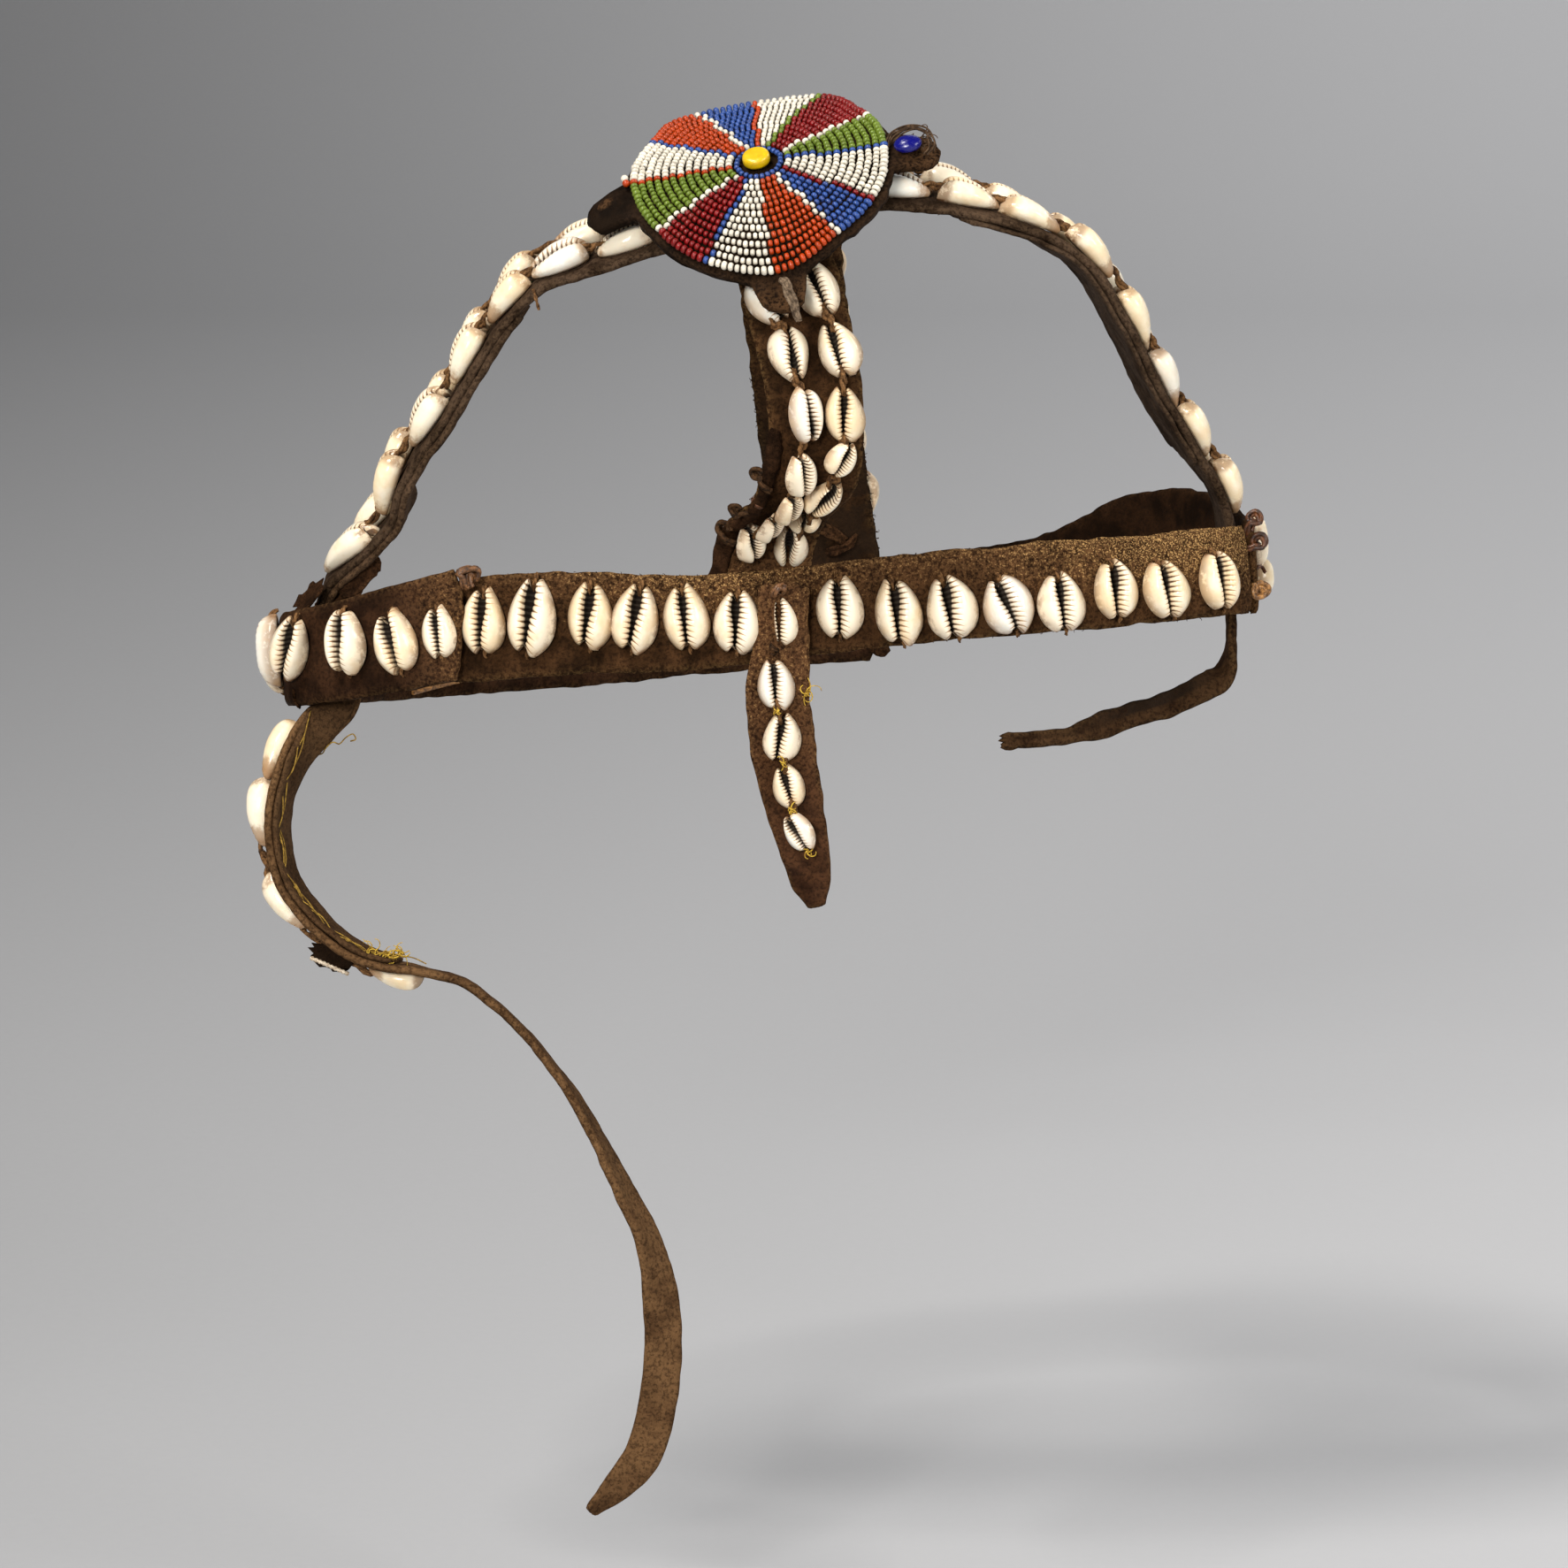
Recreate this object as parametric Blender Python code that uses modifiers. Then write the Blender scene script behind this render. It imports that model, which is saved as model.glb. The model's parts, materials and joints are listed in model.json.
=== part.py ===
"""A beaded leather headdress, held in the shape it has when worn.

A head band of three lapped lengths of leather carries two crossing straps, from ear to ear and
from front to back. Cowrie shells are sewn along them in rows, a bead-covered disc lies over the
crossing, a flap hangs from the middle of the band, and a chin strap hangs at each side.

The tables are in millimetres. The origin is the underside of the crossing, where the crown of
the head carries it. +X is towards the headdress's right side as seen from the front, +Y is
backwards and +Z is up.
"""
import math
from collections import namedtuple

import bmesh
import bpy
from mathutils import Vector

MM = 0.001

# Driving sizes
LEATHER = 2.6          # thickness of the band and straps
CHIN_LEATHER = 3.4     # the long chin strap is sewn from two layers
GAP = 0.4              # room between pieces that lie on each other
STEP = 4.5             # length of a facet along a strap
SHELL_RISE = LEATHER / 2 + 0.7         # from the middle of the leather to a shell's underside
CHIN_RISE = CHIN_LEATHER / 2 + 1.2
SHELL_HEIGHT = 4.6
THREAD = 0.8           # half-thickness of the thong that joins a row of shells

DISC_RADIUS = 28.4     # the leather disc of the medallion
BEADS_RADIUS = 28.0
BEADS_DEPTH = 2.0
BEADS_HOLE = 4.2
DISC_SPOKES = 36
DISC_CENTRE = Vector((0.0, -9.0, 12.3))
DISC_ROLL = 9.4        # degrees that the disc rises towards +X
DISC_LEAN = 58.5       # elevation of the disc's face
DISC_BEND = 0.857      # degrees of bend for each millimetre from front to back

BROWN = (0.075, 0.045, 0.028, 1)
DARK = (0.035, 0.025, 0.02, 1)
IVORY = (0.8, 0.72, 0.58, 1)
BEADS = (0.55, 0.12, 0.05, 1)
YELLOW = (0.8, 0.6, 0.02, 1)
COBALT = (0.02, 0.03, 0.5, 1)
THONG = (0.16, 0.08, 0.035, 1)

# A station of a strap: its middle, its width, and where its width points: yaw about Z, then rise
Station = namedtuple("Station", "x y z width yaw rise")
Frame = namedtuple("Frame", "travelled middle along side out width")

UPRIGHT = (108.0, 77.0)    # yaw and rise of the band's width


def band(*rows):
    return [Station(*row, *UPRIGHT) for row in rows]


# Clockwise seen from above, so that side x along points away from the head
BAND_FRONT = band(
    (107.0, 11.5, -79.6, 19.2),
    (101.5, 5.3, -78.9, 19.2),
    (88.5, -1.4, -79.1, 19.2),
    (65.5, -8.2, -79.8, 19.4),
    (27.5, -13.1, -82.3, 19.2),
    (5.5, -13.9, -84.9, 19.4),
    (-14.5, -14.1, -86.7, 20.4),
    (-48.5, -11.4, -87.7, 22.4),
    (-80.0, -5.0, -92.6, 21.0),
)
BAND_LEFT = band(
    (-67.0, -11.8, -90.3, 21.6),
    (-78.0, -9.1, -92.9, 21.8),
    (-90.5, -3.4, -95.3, 21.4),
    (-99.8, 4.4, -97.8, 20.8),
    (-103.6, 14.5, -100.3, 20.0),
    (-103.0, 35.0, -104.7, 19.5),
    (-94.5, 61.6, -109.6, 19.5),
    (-74.5, 84.5, -112.5, 19.5),
    (-39.5, 104.7, -113.7, 19.5),
    (-8.5, 112.7, -111.8, 20.0),
    (27.0, 112.8, -108.9, 20.0),
)
BAND_RIGHT = band(
    (-0.5, 117.4, -107.1, 19.0),
    (27.5, 117.2, -105.0, 19.0),
    (51.5, 109.9, -101.5, 19.0),
    (69.5, 100.8, -96.0, 19.0),
    (88.5, 88.2, -84.6, 19.0),
    (102.5, 65.3, -81.2, 19.0),
    (108.0, 39.9, -82.0, 19.2),
    (108.0, 21.8, -80.7, 19.2),
    (107.4, 15.9, -80.0, 19.2),
)
# The front edge of the strap from the right ear to the left ear; the width runs backwards
EAR_STRAP = [Station(*row[:3], 22.0, row[3], row[4]) for row in (
    (103.9, 14.4, -79.5, 93.0, 0.0),
    (103.4, 14.0, -71.0, 94.0, -3.0),
    (101.2, 11.4, -64.0, 95.0, -8.0),
    (96.2, 8.2, -54.8, 96.0, -11.0),
    (87.9, 3.8, -40.8, 96.0, -11.0),
    (79.9, 0.0, -25.4, 95.0, -11.0),
    (71.6, -3.2, -11.9, 94.0, -10.0),
    (62.8, -5.2, -5.5, 92.0, -6.0),
    (48.1, -7.8, -0.6, 91.0, 6.0),
    (30.0, -9.4, 1.8, 90.0, 13.0),
    (12.0, -10.2, 0.1, 90.0, 18.0),
    (0.0, -10.5, -2.4, 90.0, 20.0),
    (-18.8, -11.0, -6.9, 90.0, 18.0),
    (-36.3, -10.4, -12.4, 90.0, 15.0),
    (-45.9, -9.7, -15.8, 90.0, 12.0),
    (-52.4, -9.0, -21.4, 90.0, 8.0),
    (-58.8, -8.0, -30.4, 90.0, 4.0),
    (-67.8, -5.4, -45.5, 90.0, 3.0),
    (-73.4, -3.4, -53.4, 90.0, 2.0),
    (-77.6, -1.0, -61.4, 90.0, 2.0),
    (-79.6, 0.8, -68.4, 90.0, 2.0),
    (-86.0, 3.8, -75.8, 90.0, 2.0),
    (-94.0, 7.4, -83.6, 90.0, 0.0),
    (-97.7, 9.6, -97.5, 90.0, 0.0),
)]
# From the front band up over the crossing and down to the back band
CROWN_STRAP = [Station(*row) for row in (
    (-0.3, -12.2, -93.0, 20.5, 0.0, 2.0),
    (0.7, -8.9, -77.3, 20.5, 0.0, 2.0),
    (1.4, -8.1, -72.4, 20.5, 0.0, 0.0),
    (2.6, -9.8, -68.0, 20.0, 0.0, 0.0),
    (5.0, -14.6, -63.8, 20.0, 0.0, 6.0),
    (8.3, -20.6, -59.4, 20.0, 0.0, 9.0),
    (10.8, -25.4, -54.0, 20.0, 0.0, 7.0),
    (12.2, -27.8, -46.6, 20.2, 0.0, 3.0),
    (11.8, -26.8, -34.5, 20.4, 0.0, 0.0),
    (9.2, -22.4, -22.6, 20.8, 0.0, 4.0),
    (6.0, -16.8, -10.6, 21.2, 0.0, 9.0),
    (2.6, -12.7, 0.1, 22.0, 0.0, 11.0),
    (0.4, -2.9, 7.0, 22.0, 0.0, 11.0),
    (0.0, 8.2, 10.6, 22.0, 0.0, 10.0),
    (1.5, 24.0, 12.0, 22.5, 0.0, 7.0),
    (3.0, 44.0, 8.0, 23.0, 0.0, 5.0),
    (4.5, 65.0, -1.5, 23.5, 0.0, 3.0),
    (6.5, 83.0, -17.0, 24.0, 0.0, 2.0),
    (8.5, 97.0, -37.0, 24.0, 0.0, 2.0),
    (11.0, 106.0, -59.0, 24.0, 0.0, 2.0),
    (14.0, 110.6, -81.0, 23.5, 0.0, 2.0),
    (17.0, 110.9, -97.0, 22.5, 0.0, 2.0),
    (17.7, 109.0, -112.0, 21.0, 0.0, 2.0),
)]
# From the tip up over the front of the band
PENDANT_STRAP = [Station(*row) for row in (
    (12.6, -25.2, -147.0, 4.0, 0.0, 0.0),
    (11.4, -24.0, -141.5, 8.4, 0.0, 0.0),
    (9.1, -22.2, -131.0, 11.6, 0.0, 0.0),
    (6.8, -21.0, -121.5, 13.2, -4.0, 0.0),
    (5.0, -20.2, -111.0, 14.0, 0.0, 0.0),
    (4.2, -19.9, -100.5, 13.4, 0.0, 0.0),
    (4.6, -19.4, -95.6, 12.0, 0.0, 0.0),
    (5.2, -18.0, -88.0, 8.2, 0.0, 0.0),
    (5.2, -15.8, -77.5, 8.0, 0.0, 0.0),
)]
# From the band down, round the curl, and along the lace that ends it
LONG_CHIN_STRAP = [Station(*row) for row in (
    (-90.6, 6.6, -98.0, 9.8, -33.0, 0.0),
    (-91.0, 6.2, -104.6, 9.0, -28.0, 0.0),
    (-92.0, 5.4, -108.4, 8.8, -12.0, 0.0),
    (-95.4, 3.6, -112.2, 8.8, 18.0, 0.0),
    (-98.8, 1.6, -116.4, 9.8, 44.0, 0.0),
    (-101.8, -0.2, -121.4, 11.0, 62.0, 0.0),
    (-104.2, -1.6, -128.4, 11.2, 72.0, 0.0),
    (-104.7, -3.2, -136.0, 11.2, 76.0, 0.0),
    (-103.2, -5.0, -144.1, 11.0, 78.0, 0.0),
    (-99.2, -6.8, -150.4, 11.0, 80.0, 0.0),
    (-94.2, -8.4, -155.6, 10.8, 82.0, -2.0),
    (-88.2, -9.9, -160.0, 10.6, 86.0, -4.0),
    (-81.4, -10.9, -162.4, 10.2, 90.0, -5.0),
    (-74.0, -12.0, -163.3, 9.6, 90.0, -10.0),
    (-62.8, -13.8, -166.3, 9.0, 90.0, -12.0),
    (-49.3, -17.2, -177.5, 8.2, 90.0, -10.0),
    (-38.2, -21.3, -191.9, 8.0, 84.0, -6.0),
    (-29.6, -25.7, -207.6, 8.2, 72.0, 0.0),
    (-22.9, -29.0, -221.5, 8.2, 52.0, 0.0),
    (-20.5, -33.4, -238.0, 8.4, 20.0, 0.0),
    (-21.6, -37.6, -253.0, 8.2, 6.0, 0.0),
    (-25.0, -40.2, -265.0, 8.2, 0.0, 4.0),
    (-30.8, -41.6, -272.4, 6.4, 10.0, 16.0),
    (-36.3, -42.6, -277.7, 3.0, 20.0, 24.0),
)]
SHORT_CHIN_STRAP = [Station(*row) for row in (
    (103.8, 20.6, -84.5, 8.0, 90.0, 0.0),
    (104.1, 17.4, -96.2, 8.0, 90.0, 4.0),
    (103.2, 14.6, -100.4, 7.6, 90.0, 14.0),
    (100.8, 11.2, -104.0, 7.0, 92.0, 34.0),
    (95.6, 7.6, -106.2, 7.0, 96.0, 56.0),
    (89.0, 4.2, -108.2, 7.0, 100.0, 68.0),
    (79.1, 0.0, -110.5, 6.8, 100.0, 72.0),
    (67.1, -6.4, -113.1, 4.6, 100.0, 76.0),
    (51.6, -12.6, -113.2, 4.0, 100.0, 78.0),
)]

# A row of shells: its strap, how far to the side of the strap's middle, where its first shell
# is and how far to the next, and a shell's size along and across the strap; the sizes shrink
# evenly to the last shell's share
Row = namedtuple("Row", "name strap across first pitch count along broad shrink")
ROWS = (
    Row("band_front_cowries_right", "band_front", 0.0, 12.0, 11.9, 8, 10.2, 14.6, 1.0),
    Row("band_front_cowries_left", "band_front", 0.0, 118.0, 10.8, 6, 9.8, 15.2, 1.0),
    Row("band_lap_cowrie", "band_left", 0.0, 1.4, 4.4, 1, 4.4, 12.0, 1.0),
    Row("band_left_cowries", "band_left", 0.0, 9.8, 11.9, 17, 10.2, 15.0, 1.0),
    Row("band_right_cowries", "band_right", 0.0, 7.0, 11.6, 15, 10.2, 14.6, 1.0),
    Row("ear_cowries_right_near", "ear_strap", -5.3, 19.6, 14.7, 8, 14.0, 9.0, 1.0),
    Row("ear_cowries_right_far", "ear_strap", 5.3, 25.0, 14.4, 8, 13.8, 9.0, 1.0),
    Row("ear_cowries_left_near", "ear_strap", -5.3, 182.0, 14.4, 7, 13.4, 8.4, 1.25),
    Row("ear_cowries_left_far", "ear_strap", 5.3, 178.0, 14.4, 7, 13.4, 8.4, 1.25),
    Row("crown_front_cowries_left", "crown_strap", -5.2, 25.6, 9.1, 7, 8.4, 6.6, 1.34),
    Row("crown_front_cowries_right", "crown_strap", 5.2, 26.6, 8.9, 7, 8.3, 6.6, 1.34),
    Row("crown_back_cowries_left", "crown_strap", -5.6, 161.0, 15.2, 8, 14.4, 9.2, 1.0),
    Row("crown_back_cowries_right", "crown_strap", 5.6, 156.0, 15.2, 8, 14.4, 9.2, 1.0),
    Row("pendant_cowries", "pendant_strap", 0.0, 16.6, 10.3, 5, 9.0, 6.4, 1.3),
    Row("chin_cowries", "long_chin_strap", 0.0, 24.4, 15.2, 5, 14.4, 7.2, 1.0),
)

# A tab of the medallion's leather: the direction that it points in, degrees from +X towards the
# back, and how far its tip reaches
Tab = namedtuple("Tab", "direction reach")
TABS = (Tab(-4, 37.6), Tab(90, 38.0), Tab(187, 37.4), Tab(270, 38.0))
TAB_WIDTH = 10.5

# A curled end of thong: where it is, the radius of its curl, and the yaw of the curl's axis
Curl = namedtuple("Curl", "name x y z radius yaw")
CURLS = (
    Curl("band_knot", -62.3, -10.5, -75.6, 2.0, 90),
    Curl("corner_knot_upper", 109.6, 13.6, -68.4, 1.5, 60),
    Curl("corner_knot_middle", 111.4, 13.2, -74.2, 1.6, 60),
    Curl("corner_knot_lower", 110.7, 10.6, -86.4, 1.9, 60),
    Curl("strap_knot_upper", 0.2, -31.2, -51.6, 1.6, 90),
    Curl("strap_knot_middle", -4.3, -24.4, -60.0, 1.7, 90),
    Curl("strap_knot_lower", -8.2, -17.0, -65.2, 1.7, 90),
)
CURL_TUBE = 0.75


def clear_scene():
    for obj in list(bpy.data.objects):
        bpy.data.objects.remove(obj, do_unlink=True)


def mesh_object(name, bm, collection):
    mesh = bpy.data.meshes.new(name)
    bm.to_mesh(mesh)
    bm.free()
    obj = bpy.data.objects.new(name, mesh)
    collection.objects.link(obj)
    return obj


def finish(obj, colour, roughness):
    """Give the object a material of its own."""
    material = bpy.data.materials.new(obj.name + "_finish")
    material.use_nodes = True
    shader = material.node_tree.nodes["Principled BSDF"]
    shader.inputs["Base Color"].default_value = colour
    shader.inputs["Roughness"].default_value = roughness
    shader.inputs["Metallic"].default_value = 0.0
    obj.data.materials.append(material)


def thicken(obj, thickness):
    """Turn an open sheet into a wall, half of it on each side."""
    wall = obj.modifiers.new("Wall", "SOLIDIFY")
    wall.thickness = thickness * MM
    wall.offset = 0.0


def smooth_route(stations, step):
    """Even places on a smooth curve through the stations, with every column carried along."""
    knots = [0.0]
    for here, there in zip(stations, stations[1:]):
        knots.append(knots[-1] + math.dist(here[:3], there[:3]))
    last = len(stations) - 1
    slopes = []
    for i in range(last + 1):
        before, after = max(i - 1, 0), min(i + 1, last)
        reach = knots[after] - knots[before]
        slopes.append([(b - a) / reach for a, b in zip(stations[before], stations[after])])
    count = round(knots[-1] / step)
    places = []
    leg = 0
    for k in range(count + 1):
        position = knots[-1] * k / count
        while leg < last - 1 and position > knots[leg + 1]:
            leg += 1
        length = knots[leg + 1] - knots[leg]
        t = (position - knots[leg]) / length
        rest, pull = 2 * t**3 - 3 * t**2 + 1, t**3 - 2 * t**2 + t
        arrive, push = 3 * t**2 - 2 * t**3, t**3 - t**2
        places.append(Station(*(
            rest * a + pull * length * slope_a + arrive * b + push * length * slope_b
            for a, slope_a, b, slope_b in zip(
                stations[leg], slopes[leg], stations[leg + 1], slopes[leg + 1]))))
    return places


def lay_strap(stations, by_edge=False):
    """The frames of a strap; with by_edge the stations follow its first edge, not its middle."""
    places = smooth_route(stations, STEP)
    points = [Vector(place[:3]) for place in places]
    last = len(points) - 1
    frames = []
    travelled = 0.0
    for i, place in enumerate(places):
        along = (points[min(i + 1, last)] - points[max(i - 1, 0)]).normalized()
        yaw, rise = math.radians(place.yaw), math.radians(place.rise)
        side = Vector((math.cos(yaw) * math.cos(rise), math.sin(yaw) * math.cos(rise),
                       math.sin(rise)))
        side = (side - side.dot(along) * along).normalized()
        middle = points[i] + side * (place.width / 2 if by_edge else 0.0)
        if frames:
            travelled += (middle - frames[-1].middle).length
        frames.append(Frame(travelled, middle, along, side, side.cross(along), place.width))
    return frames


def frame_at(frames, travelled):
    """The frame at a distance along the strap, between the two nearest."""
    i = 0
    while i < len(frames) - 2 and frames[i + 1].travelled < travelled:
        i += 1
    here, there = frames[i], frames[i + 1]
    t = (travelled - here.travelled) / (there.travelled - here.travelled)
    middle, along, side, out = (
        getattr(here, field).lerp(getattr(there, field), t)
        for field in ("middle", "along", "side", "out"))
    width = here.width + (there.width - here.width) * t
    return Frame(travelled, middle, along.normalized(), side.normalized(), out.normalized(), width)


def strap(name, frames, collection, thickness=LEATHER):
    """A strip of leather: a grid laid along the frames, then thickened."""
    count = len(frames) - 1
    bm = bmesh.new()
    bmesh.ops.create_grid(bm, x_segments=count, y_segments=1, size=0.5)
    for vert in bm.verts:
        frame = frames[round((vert.co.x + 0.5) * count)]
        vert.co = (frame.middle + frame.side * frame.width * vert.co.y) * MM
    obj = mesh_object(name, bm, collection)
    thicken(obj, thickness)
    finish(obj, BROWN, 0.85)
    return obj


# The outline of a shell across its row: a flat underside and a domed top
OUTLINE = ((-0.8, 0.0), (0.8, 0.0), (1.0, 0.4), (0.7, 0.85), (0.0, 1.0), (-0.7, 0.85), (-1.0, 0.4))
# Sections of one shell: how far from its middle, and how large, as shares of its half-length
SECTIONS = ((-0.8, 0.6), (-0.32, 0.95), (0.32, 0.95), (0.8, 0.6))


def cowries(row, frames, rise, collection):
    """A row of shells as one body: rings along the strap swell at each shell and shrink to the
    thong between two."""
    rings = []

    def add_ring(travelled, half_width, height):
        frame = frame_at(frames, travelled)
        base = frame.middle + frame.side * row.across + frame.out * rise
        rings.append([base + frame.side * half_width * x + frame.out * height * y
                      for x, y in OUTLINE])

    previous_end = None
    middle = row.first
    for i in range(row.count):
        share = 1 + (row.shrink - 1) * i / max(row.count - 1, 1)
        half = row.along * share / 2
        if previous_end is None:
            add_ring(middle - half - THREAD / 2, THREAD, 2 * THREAD)
        else:
            add_ring((previous_end + middle - half) / 2, THREAD, 2 * THREAD)
        for offset, size in SECTIONS:
            add_ring(middle + half * offset, row.broad * share / 2 * size,
                     SHELL_HEIGHT * share**0.5 * size)
        previous_end = middle + half
        middle += row.pitch * share
    add_ring(previous_end + THREAD / 2, THREAD, 2 * THREAD)

    bm = bmesh.new()
    loops = [[bm.verts.new(point * MM) for point in ring] for ring in rings]
    sides = len(OUTLINE)
    for loop, following in zip(loops, loops[1:]):
        for k in range(sides):
            after = (k + 1) % sides
            bm.faces.new((loop[k], loop[after], following[after], following[k]))
    bm.faces.new(loops[0])
    bm.faces.new(loops[-1])
    bmesh.ops.recalc_face_normals(bm, faces=bm.faces)
    obj = mesh_object(row.name, bm, collection)
    finish(obj, IVORY, 0.3)


def disc_point(a, b, depth):
    """A point of the medallion: a towards +X, b towards the back, depth under its face. The disc
    bends over the crossing from front to back, and its rim's slope goes on past the rim."""
    roll, lean = math.radians(DISC_ROLL), math.radians(DISC_LEAN)
    right = Vector((math.cos(roll), 0.0, math.sin(roll)))
    face = Vector((0.0, -math.cos(lean), math.sin(lean)))
    face = (face - face.dot(right) * right).normalized()
    back = face.cross(right)
    bend = math.radians(DISC_BEND)
    held = max(-DISC_RADIUS, min(DISC_RADIUS, b))
    angle = bend * held
    slope = back * math.cos(angle) - face * math.sin(angle)
    normal = face * math.cos(angle) + back * math.sin(angle)
    point = DISC_CENTRE + right * a + back * math.sin(angle) / bend
    point -= face * (1 - math.cos(angle)) / bend
    return point + slope * (b - held) - normal * depth


def flat_disc(inner, outer, rings):
    """A flat disc or ring in millimetres, from a line spun round the middle."""
    bm = bmesh.new()
    verts = [bm.verts.new((inner + (outer - inner) * i / rings, 0.0, 0.0)) for i in range(rings + 1)]
    edges = [bm.edges.new(pair) for pair in zip(verts, verts[1:])]
    bmesh.ops.spin(bm, geom=verts + edges, cent=(0, 0, 0), axis=(0, 0, 1),
                   angle=2 * math.pi, steps=DISC_SPOKES, use_merge=True)
    bmesh.ops.remove_doubles(bm, verts=bm.verts, dist=0.001)
    bmesh.ops.recalc_face_normals(bm, faces=bm.faces)
    return bm


def bend_over_crossing(bm, depth):
    for vert in bm.verts:
        vert.co = disc_point(vert.co.x, vert.co.y, depth) * MM


def medallion_backing(collection):
    """The leather disc, with a tab drawn out of its rim in four directions."""
    bm = flat_disc(0.0, DISC_RADIUS, 3)
    for tab in TABS:
        turn = math.radians(tab.direction)
        ahead = Vector((math.cos(turn), math.sin(turn), 0.0))
        sideways = Vector((-ahead.y, ahead.x, 0.0))
        rim = [edge for edge in bm.edges if edge.is_boundary
               and sum((vert.co for vert in edge.verts), Vector()).normalized().dot(ahead)
               > math.cos(math.radians(10.1))]
        for reach, width in ((tab.reach - 3.5, TAB_WIDTH), (tab.reach, TAB_WIDTH * 0.6)):
            new = bmesh.ops.extrude_edge_only(bm, edges=rim)["geom"]
            moved = [part for part in new if isinstance(part, bmesh.types.BMVert)]
            moved.sort(key=lambda vert: vert.co.dot(sideways))
            last = len(moved) - 1
            for i, vert in enumerate(moved):
                vert.co = ahead * reach + sideways * width * (i / last - 0.5)
            rim = [part for part in new if isinstance(part, bmesh.types.BMEdge)
                   and all(vert in moved for vert in part.verts)]
    bmesh.ops.recalc_face_normals(bm, faces=bm.faces)
    depth = BEADS_DEPTH + GAP + LEATHER / 2
    bend_over_crossing(bm, depth)
    obj = mesh_object("medallion_backing", bm, collection)
    thicken(obj, LEATHER)
    finish(obj, DARK, 0.8)


def medallion_beadwork(collection):
    """The paved ring of seed beads, as one sheet of their thickness."""
    bm = flat_disc(BEADS_HOLE, BEADS_RADIUS, 3)
    bend_over_crossing(bm, BEADS_DEPTH / 2)
    obj = mesh_object("medallion_beadwork", bm, collection)
    thicken(obj, BEADS_DEPTH)
    finish(obj, BEADS, 0.35)


def bead(name, centre, size, colour, collection):
    """A rounded bead, lying in the plane of the medallion's face."""
    right = (disc_point(1, 0, 0) - disc_point(0, 0, 0)).normalized()
    back = (disc_point(0, 1, 0) - disc_point(0, 0, 0)).normalized()
    face = right.cross(back)
    bm = bmesh.new()
    bmesh.ops.create_uvsphere(bm, u_segments=14, v_segments=8, radius=0.5)
    for vert in bm.verts:
        point = centre + right * vert.co.x * size[0] + back * vert.co.y * size[1]
        vert.co = (point + face * vert.co.z * size[2]) * MM
    obj = mesh_object(name, bm, collection)
    obj.data.shade_smooth()
    finish(obj, colour, 0.2)


def tube(name, points, radius, collection):
    """A thong along a short route, closed at both ends."""
    curve = bpy.data.curves.new(name, "CURVE")
    curve.dimensions = "3D"
    curve.bevel_depth = radius * MM
    curve.bevel_resolution = 1
    curve.render_resolution_u = 0
    curve.use_fill_caps = True
    spline = curve.splines.new("POLY")
    spline.points.add(len(points) - 1)
    for target, point in zip(spline.points, points):
        target.co = (*(point * MM), 1.0)
    obj = bpy.data.objects.new(name, curve)
    collection.objects.link(obj)
    finish(obj, THONG, 0.6)


def curled_end(curl, collection):
    """A cut end of thong, curled through most of a turn."""
    yaw = math.radians(curl.yaw)
    across = Vector((-math.sin(yaw), math.cos(yaw), 0.0))
    axis = Vector((math.cos(yaw), math.sin(yaw), 0.0))
    centre = Vector((curl.x, curl.y, curl.z))
    steps = 8
    points = []
    for i in range(steps):
        angle = math.radians(-60 + 270 * i / (steps - 1))
        radius = curl.radius * (1.15 - 0.3 * i / (steps - 1))
        points.append(centre + across * math.cos(angle) * radius
                      + Vector((0, 0, math.sin(angle) * radius)) + axis * 0.12 * i)
    tube(curl.name, points, CURL_TUBE, collection)


def main():
    clear_scene()
    parts = bpy.data.collections.new("beaded_headdress")
    bpy.context.scene.collection.children.link(parts)

    straps = {
        "band_front": lay_strap(BAND_FRONT),
        "band_left": lay_strap(BAND_LEFT),
        "band_right": lay_strap(BAND_RIGHT),
        "ear_strap": lay_strap(EAR_STRAP, by_edge=True),
        "crown_strap": lay_strap(CROWN_STRAP),
        "pendant_strap": lay_strap(PENDANT_STRAP),
        "long_chin_strap": lay_strap(LONG_CHIN_STRAP),
        "short_chin_strap": lay_strap(SHORT_CHIN_STRAP),
    }
    for name, frames in straps.items():
        strap(name, frames, parts, CHIN_LEATHER if name == "long_chin_strap" else LEATHER)
        print(name, "is", round(frames[-1].travelled), "mm long")
    for row in ROWS:
        rise = CHIN_RISE if row.strap == "long_chin_strap" else SHELL_RISE
        cowries(row, straps[row.strap], rise, parts)

    medallion_backing(parts)
    medallion_beadwork(parts)
    bead("medallion_centre_bead", disc_point(-0.4, 0.4, 0.0), (6.6, 6.6, 3.8), YELLOW, parts)
    bead("tab_bead", disc_point(32.0, -1.4, 0.4), (5.6, 4.6, 3.2), COBALT, parts)
    tube("tab_thong", [disc_point(2.0 + 0.5 * i, -31.0 - 2.2 * i, 0.6 - 0.9 * math.sin(i * 0.8))
                       for i in range(5)], 1.0, parts)
    for curl in CURLS:
        curled_end(curl, parts)


main()
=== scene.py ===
# %% [markdown]
# # A beaded leather headdress
#
# The headdress is a head band of three lapped lengths of leather, with two straps that cross over
# the crown. Cowrie shells are sewn along all of them, and a disc of seed beads covers the crossing.
# This lesson dresses its plain solid model. It repeats the short tables that lay out the straps,
# then makes leather, shells, beads and thongs along them.
#
# The solid model comes in first. Its box is kept, so that the finished headdress's box can be
# printed beside it at the end. Its box is kept, because the finished headdress has to stay in it.

# %% Load the solid model
import json
import math
import random
from collections import namedtuple

import bmesh
import bpy
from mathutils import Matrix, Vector, noise

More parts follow.
